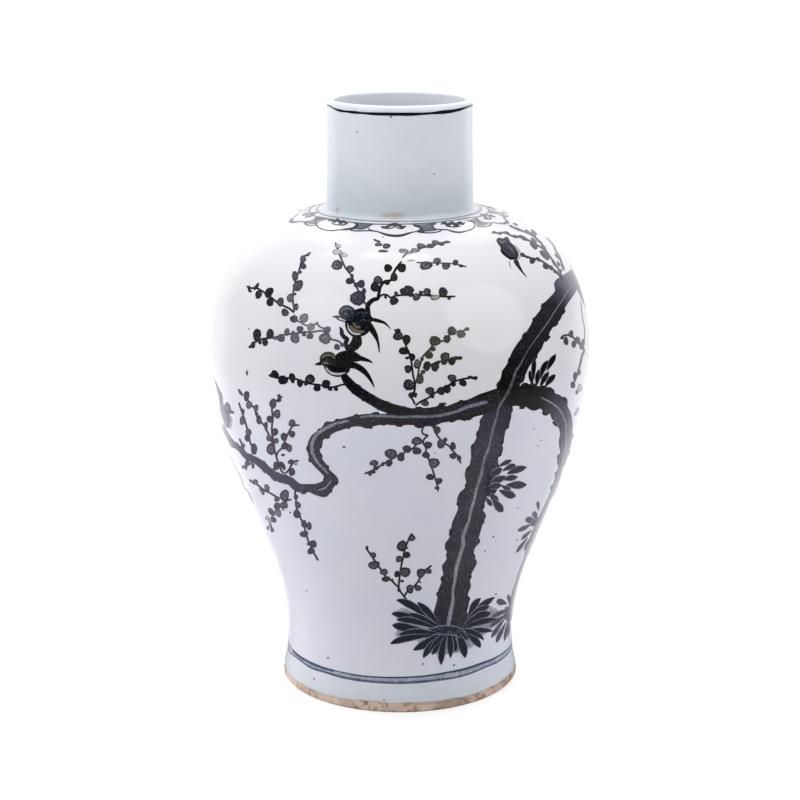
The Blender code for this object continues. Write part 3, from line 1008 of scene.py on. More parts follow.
def discTones(tones, sectors):
    # tones run from the middle out, one for the hub and one for each ring
    hub = [tones[0]]
    return np.concatenate([np.repeat(tones[1:], sectors), hub, np.full(sectors, tones[-1]), hub])


def roundedEnds(line, ends):
    # 1 along the stroke, falling like a quarter circle over a length at each end
    gone = farAlong(line)
    start, stop = (np.clip(far / max(end, 1e-6), 0, 1) for far, end in zip((gone, gone[-1] - gone), ends))
    return np.maximum(np.sqrt(1 - (1 - start) ** 2) * np.sqrt(1 - (1 - stop) ** 2), film["thinnestEnd"])


def ink(tone, hue=0.0, violet=0.0, bark=0.0):
    return (tone, hue, violet, bark)


# what the jar's pieces add to its own sizes, metres
footRing = {"bevel": 0.0004, "underGlaze": 0.0012, "bare": 0.00055, "pitted": 0.00012, "worn": 0.00018,
            "tuck": 0.0060}
glazedFoot = {"rollHeight": 0.0016, "rollDepth": 0.00065, "seamStep": 0.0015, "seamHalf": 0.0009,
              "fit": 0.0003, "tuck": 0.0055}
sections = {"seamStep": 0.0015, "seamHalf": 0.0009}
neckJoin = {"overlap": 0.0004, "coveDepth": 0.0012, "bandOut": 0.0040, "bandRound": 0.0062, "tuck": 0.0010}
hidden = {"gap": 0.0003, "coilHollow": 0.0008, "seamDepth": 0.0018, "bandGap": 0.0005, "slipHalf": 0.0006}

# the glaze stops short of the floor; photo pixels along its lower edge
glazeEdgePicks = [(290, 676), (300, 683), (310, 689), (320, 693), (330, 696), (345, 699), (360, 700.5),
    (375, 701.5), (390, 703.5), (400, 703.5), (410, 703), (425, 702.5), (435, 702), (445, 700), (455, 698.5),
    (465, 697), (475, 694), (485, 690), (495, 685.5), (505, 679), (512, 671)]


def outerRadiusAt(height):
    return np.interp(height, outerLine[:crestPlace, 1], outerLine[:crestPlace, 0])


def innerRadiusAt(height):
    return np.interp(height, innerLine[:, 1], innerLine[:, 0])


def glazeEdgeHeight(turn):
    # the picked edge in front, and a rippled one behind
    edgeTurn, edgeReach = onWall(glazeEdgePicks)
    heights = np.interp(edgeReach, lineReach, outerLine[:, 1])
    turn = (turn + math.pi) % (2 * math.pi) - math.pi
    behind = 0.0068 + 0.0016 * ripple(turn, 41)
    front = np.interp(turn, edgeTurn, heights) + 0.0003 * ripple(turn, 42, (31, 47, 66))
    share = np.clip((np.abs(turn) - 1.15) / 0.25, 0, 1)
    share = share * share * (3 - 2 * share)
    return np.clip(front * (1 - share) + behind * share, 0.0035, 0.0105)


def makeFootRing():
    # bare clay: level underneath, chamfered, and rough where it climbs to the glaze
    look = footRing
    edge = glazeEdgeHeight(turnsRound)
    start, toe = jar["ringChamfer"] * 0.9, jar["footRadius"] - jar["ringChamfer"] - look["bevel"]
    under = np.linspace(jar["ledgeRadius"] + jar["ringInnerChamfer"], toe, 8)
    heights = start + np.linspace(0.0016, 1.0, 12)[:, None] * (edge + look["underGlaze"] - start)
    pits = np.random.default_rng(7).normal(0, 1, heights.shape)
    pits = (pits + np.roll(pits, 1, 1) + np.roll(pits, -1, 1)) / 3
    worn = look["worn"] * np.abs(ripple(turnsRound, 9, (17, 29, 43)))
    radii = outerRadiusAt(heights) - look["bare"] + look["pitted"] * pits - worn
    top, tuckIn = jar["ringHeight"], jar["footRadius"] - look["tuck"]
    rows = [(radius, 0.0) for radius in under] + list(zip(radii, heights))
    rows += [(tuckIn, edge + look["underGlaze"]), (tuckIn, top), (jar["ledgeRadius"], top),
             (jar["ledgeRadius"], jar["ringInnerChamfer"])]
    ringSkin("footRingClay", rows, bareClay, "bare_clay", "foot_ring")


def makeFoot():
    # glazed flare: the glaze rolls off just above its edge, and hidden steps inside take the base
    look = glazedFoot
    edge, seam = glazeEdgeHeight(turnsRound), jar["waistHeight"]
    climb = np.concatenate([[0.0, 0.010, 0.022, 0.036, 0.055], np.linspace(0.09, 0.996, 26), [1.0]])[:, None]
    heights = edge + climb * (seam - edge)
    roll = np.clip((heights - edge) / look["rollHeight"], 0, 1)
    radii = outerRadiusAt(heights) - look["rollDepth"] * (1 - np.sqrt(1 - (1 - roll) ** 2))
    step, inner = jar["waistRadius"] - look["seamStep"], seam - look["seamHalf"]
    rebate, bottom = jar["baseRadius"] + look["fit"], jar["ringHeight"] + look["fit"]
    ledge = jar["baseTop"] - jar["baseThickness"] - look["fit"]
    tuckIn = jar["footRadius"] - look["tuck"]
    rows = list(zip(radii, heights)) + [
        (step, seam), (step, inner), (innerRadiusAt(inner), inner), (rebate, jar["baseTop"]), (rebate, ledge),
        (jar["ledgeRadius"], ledge), (jar["ledgeRadius"], bottom), (tuckIn, bottom), (tuckIn, edge)]
    ringSkin("footGlazed", rows, bodyGlaze, "glaze", "foot")


def makeBody():
    # two thrown sections, stepped inwards at their seams
    waist, belly, seat = jar["waistHeight"], jar["bellyHeight"], jar["seatHeight"]
    insideTop, half = innerLine[-1, 1], sections["seamHalf"]
    rim, low = (outerRadiusAt(height) - sections["seamStep"] for height in (belly, waist))
    lower = [*rowsBetween(outerLine, waist, belly, 150), (rim, belly), (rim, belly - half),
             *rowsBetween(innerLine, waist + half, belly - half, 80)[::-1], (low, waist + half), (low, waist)]
    ringSkin("lowerBodyWall", lower, bodyGlaze, "glaze", "lower_body")
    upper = [*rowsBetween(outerLine, belly, seat, 150), (mouthRadius, seat), (mouthRadius, insideTop),
             *rowsBetween(innerLine, belly + half, insideTop, 80)[::-1], (rim, belly + half), (rim, belly)]
    ringSkin("upperBodyWall", upper, bodyGlaze, "glaze", "upper_body")


def makeNeck():
    # glazed cove and wiped slip at the join, then the neck itself, over the lip and down the bore
    seat, foot = jar["seatHeight"], jar["neckFoot"]
    coveTop = foot + jar["coveHeight"]
    low = coveTop + neckJoin["overlap"]
    neckIn = outerRadiusAt(coveTop) - neckJoin["coveDepth"]
    band = arc(mouthRadius + neckJoin["bandOut"], (seat + foot) / 2, neckJoin["bandRound"], 130, 230, 16)
    rows = [*rowsBetween(outerLine, seat, low, 14), (neckIn, low), (neckIn, foot - 0.0003), *band,
            (mouthRadius, seat + 0.0003), (neckIn, seat + 0.0002)]
    ringSkin("neckCove", rows, neckGlaze, "slip", "neck_lute")
    side = neckSide()
    bore = side[np.linspace(len(side) - 1, 0, 30).astype(int)] - (jar["neckWall"], 0.0)
    tuck = outerRadiusAt(low) - neckJoin["tuck"]
    rows = [*rowsBetween(outerLine, low, lipStart, 60), *lipRound(12, 10), *bore[1:], (tuck, foot),
            (tuck, low)]
    ringSkin("neckWall", rows, neckGlaze, "glaze", "neck")


def makeHiddenPieces():
    # base, its coil and the slip wiped over the two body seams
    corner, top, look = jar["baseRadius"], jar["baseTop"], hidden
    radii = np.linspace(0, corner, 24)
    over = np.stack([radii, top + jar["baseBow"] * (1 - (radii / corner) ** 2)], 1)
    discSkin("baseDisc", over - (0.0, jar["baseThickness"]), over[::-1], bareClay, "bare_clay", "base_disc")
    leg, onBase = jar["coilLeg"], top + look["gap"]
    hollow = arc(corner - leg, onBase + leg, leg - look["coilHollow"], 0, -90, 16)
    rows = [(corner, onBase), (corner + 0.0002, onBase + leg), *hollow, (corner - leg, onBase)]
    ringSkin("baseCoil", rows, firedSlip, "slip", "base_coil")
    reach, thick, half = jar["luteBandReach"], jar["luteBandThickness"], look["slipHalf"]
    swell = np.linspace(-1, 1, 15)
    for name, node, height in (("footSeamSlip", "foot_lute", jar["waistHeight"]),
                               ("bellySeamSlip", "belly_lute", jar["bellyHeight"])):
        outer, inner = outerRadiusAt(height) - look["seamDepth"], innerRadiusAt(height) - look["gap"]
        around = innerRadiusAt(height + swell * reach) - look["bandGap"]
        band = np.stack([around - thick * np.cos(swell * math.pi / 2) * 0.9, height + swell * reach], 1)
        low, high = height - half, height + half
        rows = [(outer, low), (outer, high), (inner, high), *band[::-1], (inner, low)]
        ringSkin(name, rows, firedSlip, "slip", node)


makeFootRing()
makeFoot()
makeBody()
makeNeck()
makeHiddenPieces()
print("jar turned")

# trunk and boughs, photo pixels; edges run from the top or the root end to the tip
trunkPicks = {
    "outer": [(578, 262), (569, 271), (554, 284), (555, 290), (549, 298), (543, 304), (540, 310), (534, 318),
        (530, 326), (524, 335), (517, 344), (512, 352), (508, 362), (505, 367), (502, 371), (501, 377),
        (498, 383), (496, 391), (492, 400), (483, 415), (480, 424), (478, 431), (477, 436), (474, 443),
        (471, 449), (471, 456), (470, 463), (468, 468), (465, 472), (465, 477), (466, 481), (464, 489),
        (461, 491), (458, 496), (457, 500), (458, 508), (455, 516), (452, 523), (451, 530), (449, 538),
        (445, 544), (445, 549), (447, 552), (446, 560), (442, 566), (443, 573), (441, 583), (438, 591),
        (437, 600), (434, 611), (433, 625)],
    "inner": [(583, 280), (577, 290), (573, 296), (565, 308), (560, 320), (555, 325), (550, 332), (548, 338),
        (545, 341), (542, 348), (538, 354), (534, 360), (529, 367), (526, 374), (521, 383), (516, 393),
        (512, 406), (511, 418), (509, 425), (506, 430), (504, 438), (502, 443), (503, 447), (502, 453),
        (499, 456), (498, 461), (499, 466), (493, 482), (486, 500), (483, 510), (486, 515), (483, 523),
        (481, 530), (479, 538), (479, 543), (475, 548), (474, 556), (477, 562), (474, 569), (471, 575),
        (470, 580), (471, 586), (468, 594), (469, 602), (467, 612), (466, 625)],
    "stripe": [(574, 282, 1.2), (569, 289, 1), (564, 297, 1.2), (559, 305, 1), (554, 312, 1.2),
        (550, 319, 0.9), (545, 326, 1.1), (540, 333, 1.2), (535, 340, 1.2), (530, 347, 1), (524, 357, 1.2),
        (520, 365, 2.0), (516, 371, 3.2), (513, 380, 3.4), (509, 390, 3.8), (504, 399, 3.2), (499, 407, 3.4),
        (497, 415, 3.2), (494, 425, 3.2), (492, 433, 3.2), (490, 442, 3.2), (488, 450, 3.4), (485, 457, 3.6),
        (483, 465, 3.4), (481, 475, 3.8), (477, 487, 3.6), (474, 500, 3.4), (471, 510, 3.2), (469, 520, 3.2),
        (466, 528, 3.6), (463, 537, 4.2), (463, 545, 4.2), (460, 555, 4.0), (458, 562, 4.2), (456, 570, 3.8),
        (455, 580, 3.4), (453, 590, 3.0), (453, 600, 3.4), (451, 610, 4.2), (449, 620, 4.6), (448, 627, 4)],
}
leftBoughPicks = {
    "outer": [(503, 386), (492, 390), (480, 394), (466, 400), (460, 401), (452, 404), (446, 406), (442, 404),
        (437, 406), (430, 407.5), (420, 408), (410, 408.5), (400, 412), (392, 414), (385, 414), (375, 413.5),
        (365, 414), (358, 415), (350, 416.5), (345, 418), (338, 419.5), (332, 421.5), (326, 421.5),
        (322, 427), (317, 431), (312, 435), (309, 440), (307.5, 445), (307.5, 450), (308.5, 456), (311, 462),
        (315, 467), (320, 472), (324.6, 477.4), (325.4, 478.6), (324.4, 479.6), (318, 483), (313, 484),
        (308, 484), (300, 484)],
    "inner": [(501, 408), (490, 412), (482, 415), (476, 416.5), (470, 418.5), (465, 421), (460, 420),
        (454, 421), (447, 422), (440, 423.5), (437, 425), (430, 426), (423, 427), (419, 428.5), (416, 426),
        (410, 425), (400, 425.5), (380, 425), (375, 426), (366, 428.5), (362, 427), (355, 426.5), (348, 428),
        (342, 430), (336, 432), (331, 435), (329, 437), (325, 438.5), (322, 442), (320.5, 446), (320, 451),
        (321, 456), (323, 460), (327, 465), (329, 469), (332, 472), (337.6, 477.8), (338.4, 479.6),
        (337.6, 481.4), (332, 490), (328.2, 495.4), (326.6, 497), (324.6, 497.2), (314, 494.5), (308, 492),
        (304, 494.5), (300, 493)],
    "stripe": [(488, 402, 4), (482, 403, 4), (475, 405, 4), (467, 407, 4), (460, 410, 3.6), (454, 412, 3.4),
        (447, 414, 3.4), (440, 415.5, 3.2), (430, 416.5, 3), (414, 416.5, 3), (400, 417, 3), (385, 416, 3),
        (375, 415.8, 3), (365, 416.4, 2.6), (359, 417.8, 2)],
    "secondStripe": [(350, 420, 2), (345, 421.5, 2.8), (338, 423, 3.2), (330, 426, 3.4), (322, 430.5, 3.6),
        (316, 435, 3.8), (313, 440.5, 4), (312, 447, 4), (313, 454, 3.6), (316, 460, 3), (320, 465, 2.6),
        (325, 470, 2.4), (329, 474.5, 2)],
    "elbowStripe": [(331.5, 480, 1.4), (328, 485, 1.8), (324, 488.5, 1.8), (318, 490, 1.2)],
}
farLeftBough = [(304, 489, 9), (297, 487, 9), (290, 481, 8.5), (280, 478, 9), (270, 472, 7.5), (262, 465, 8),
    (255, 460, 7), (250, 458, 7), (245, 455, 6), (241, 450, 5.5), (236, 446, 5.5), (232, 443, 5.5),
    (228, 437, 5), (224, 430, 5), (221, 424, 4)]
darkBranch = [(343, 374, 6), (347, 380.5, 9), (354, 388, 10), (363, 394.5, 10.5), (372, 400, 10.5),
    (381, 405, 11), (392, 409, 11), (404, 412, 11), (416, 414, 9)]
rightBoughPicks = {
    "outer": [(502, 384), (510, 385), (518, 386), (528, 384), (538, 386), (546, 388), (553, 391), (558, 396),
        (562, 399), (565, 400), (568, 407), (571, 414), (572.5, 422), (572, 435), (571, 445), (569, 453),
        (567, 459), (564, 465), (560, 480), (556, 492), (551, 500), (546, 512), (541, 524), (534, 542),
        (527, 558), (522, 572), (518, 586), (515, 600), (513, 613)],
    "inner": [(500, 404), (512, 406), (518, 406), (522, 408), (528, 406.5), (532, 409), (541, 409),
        (544, 413), (550, 414), (553, 418), (555, 424), (558, 427), (560, 433), (559, 440), (559, 446),
        (560, 452), (558, 458), (557, 463), (558, 466), (556, 474), (554, 481), (552, 487), (549, 495),
        (543, 508), (537, 521), (528.5, 541), (523.5, 558), (518.3, 572), (514, 586), (509.8, 600),
        (507, 613)],
    "stripe": [(540, 397, 1.6), (546, 400, 1.6), (553, 404, 2), (558, 408, 2), (562, 414, 2), (565, 421, 2),
        (566, 430, 2.2), (566, 440, 2.2), (565, 450, 2.4), (563, 458, 2.4), (561, 466, 2)],
}
violetShoot = [(225, 440, 0.8), (228, 450, 1), (231, 457, 1.3), (233, 462, 1.4), (236, 469, 1.5),
    (239, 474, 1.5), (242, 481, 1.7), (244, 487, 1.5), (248, 492, 1.3), (253, 503, 1)]


def evenly(line, count):
    far = farAlong(line)
    return placesAt(line, far, np.linspace(0, far[-1], count))


def placesAt(line, far, stops):
    return np.stack([np.interp(stops, far, line[:, k]) for k in range(2)], 1)


def pairEdges(first, second, count):
    # matches the two edges of a bough: stations evenly spaced on the first, each with the nearest place
    # on the second that lies further along than the one before
    first, second = evenly(smoothLine(first, 1.0), count), evenly(smoothLine(second, 1.0), count * 3)
    gap = np.linalg.norm(first[:, None] - second[None], axis=2)
    nearest = np.maximum.accumulate(gap.argmin(1)).astype(float)
    width = 9
    padded = np.concatenate([np.full(width, nearest[0]), nearest, np.full(width, nearest[-1])])
    smooth = np.convolve(padded, np.ones(2 * width + 1) / (2 * width + 1), "valid")
    smooth[0], smooth[-1] = 0, len(second) - 1
    return first, placesAt(second, np.arange(len(second)), np.maximum.accumulate(smooth))


def paintBough(brush, picks, count, tone, violet, columns, layer):
    # a grid of photo pixels between a bough's two edges, laid on the wall as one wide ribbon; tone and violet
    # are (share along, value); the rim is a little darker than the inside, as where the wash settled
    first, second = pairEdges(picks["outer"], picks["inner"], count)
    across = np.linspace(0, 1, columns)[None, :, None]
    grid = first[:, None] * (1 - across) + second[:, None] * across
    turn, reach = (found.reshape(count, columns) for found in onWall(grid.reshape(-1, 2)))
    radius, climb = wallRadius(reach[:, columns // 2]), np.gradient(reach[:, columns // 2])
    span = np.hypot((turn[:, -1] - turn[:, 0]) * radius, reach[:, -1] - reach[:, 0])
    wide = np.linspace(-0.5, 0.5, columns) * span[:, None]
    gone = np.cumsum(np.hypot(np.gradient(turn[:, columns // 2]) * radius, climb))[:, None] + 0 * turn
    share = np.linspace(0, 1, count)
    values = np.zeros((count, columns, 4))
    values[..., 0] = np.interp(share, *zip(*tone))[:, None]
    values[:, 1:-1, 0] *= 0.96
    values[..., 2] = np.interp(share, *zip(*violet))[:, None]
    values[..., 3] = 1.0
    run = np.stack([gone, wide, 0 * gone + layer], -1)
    brush.sheet(turn, reach, values, run, layer, film["sink"] + film["boughSink"])


def strokeEdges(line):
    # both edges of a stroke given as (x, y, width)
    line = smoothLine(line, 2.0)
    side = squareTo(np.gradient(line[:, :2], axis=0)) * line[:, 2:] * 0.45
    return line[:, :2] + side, line[:, :2] - side


def paintKnobs(brush, lines, spacing, size, paint, seed):
    # the bark's lumps: dark-rimmed ovals at uneven steps along a bough's edges, longer than they stand out
    dice = np.random.default_rng(seed)
    for line in lines:
        line = smoothLine(line, 1.0)
        far = farAlong(line)
        stops = np.cumsum(dice.uniform(*spacing, 120))
        stops = stops[stops < far[-1]]
        centres = placesAt(line, far, stops)
        ahead = placesAt(line, far, stops + 2) - centres
        half = dice.uniform(*size, (len(stops), 1)) / 2
        along = ahead / np.linalg.norm(ahead, axis=1)[:, None] * half
        halves = np.stack([along * 1.35, along[:, ::-1] * (-0.62, 0.62)], 1)
        brush.discs(centres, halves, (0.92, 0.90, 0.94, 1.1, 1.1), paint, seed, layer=0.2, wobble=0.12)


def paintTree(trunk, boughs, stripes):
    left, right = leftBoughPicks, rightBoughPicks
    paintBough(trunk, trunkPicks, 330,
               ((0, 0.76), (0.06, 0.88), (0.12, 1.0), (0.40, 1.0), (0.52, 0.90), (0.85, 0.90), (1, 0.95)),
               ((0, 1.0), (0.07, 0.8), (0.13, 0.15), (0.36, 0), (0.50, 0.30), (0.82, 0.26), (1, 0.1)), 17, 0)
    paintBough(boughs, left, 300, ((0, 0.97), (0.45, 0.92), (1, 0.89)),
               ((0, 0), (0.40, 0.02), (0.55, 0.20), (1, 0.38)), 9, 0.35)
    paintBough(boughs, right, 260,
               ((0, 1.04), (0.17, 1.02), (0.30, 0.90), (0.48, 0.80), (0.66, 0.68), (1, 0.66)),
               ((0, 0), (0.15, 0.0), (0.28, 0.75), (0.40, 1.0), (1, 1.0)), 9, 0.7)
    boughs.stroke(darkBranch, ink(0.96, bark=0.5), ends=(2, 1), columns=7, layer=0.5)
    farLeft = [ink(0.89, violet=0.55, bark=0.8), ink(0.89, violet=0.60, bark=0.8),
               ink(0.92, violet=1.0, bark=0.4)]
    boughs.stroke(farLeftBough, farLeft, ends=(1, 3), columns=7, layer=0.6)
    boughs.stroke(violetShoot, ink(0.55, violet=1.0), ends=(4, 4), layer=0.6)
    for seed, (brush, lines, spacing, size, paint) in enumerate((
        (trunk, (trunkPicks["outer"][3:], trunkPicks["inner"][2:]), (13, 30), (2.8, 5.8),
         ink(0.94, violet=0.06, bark=0.6)),
        (boughs, (left["outer"][2:-4], left["inner"][1:-4]), (10, 24), (3.0, 6.0), ink(0.92, bark=0.6)),
        (boughs, (right["outer"][2:11], right["inner"][1:13]), (6, 12), (4.0, 7.0), ink(0.96, bark=0.5)),
        (boughs, (right["outer"][12:18], right["inner"][13:23]), (9, 18), (3.4, 5.6),
         ink(0.86, violet=1.0, bark=0.5)),
        (boughs, strokeEdges(darkBranch[:-1]), (10, 22), (2.8, 5.0), ink(0.98, bark=0.3)),
        (boughs, strokeEdges(farLeftBough[1:-2]), (10, 22), (2.6, 5.0), ink(0.90, violet=0.6, bark=0.5)),
    ), 301):
        paintKnobs(brush, lines, spacing, size, paint, seed)
    trunkStripe = [ink(0.42, hue=0.3, violet=0.3), ink(0.62, hue=0.1), ink(0.42, hue=0.3, violet=0.2),
                   ink(0.38, hue=0.2, violet=0.3)]
    for line, paint, ends, edgeTone in (
        (trunkPicks["stripe"], trunkStripe, (6, 2), 1.5),
        (left["stripe"], ink(0.50, hue=0.5), (4, 4), 1.4),
        (left["secondStripe"], ink(0.42, violet=0.35, bark=0.9), (4, 6), 1.45),
        (left["elbowStripe"], ink(0.40, hue=0.5, violet=0.2), (2, 4), 1.4),
        (right["stripe"], ink(0.44, hue=0.3, violet=0.2), (6, 6), 1.5),
    ):
        stripes.stroke(line, paint, ends=ends, layer=2, edgeTone=edgeTone)
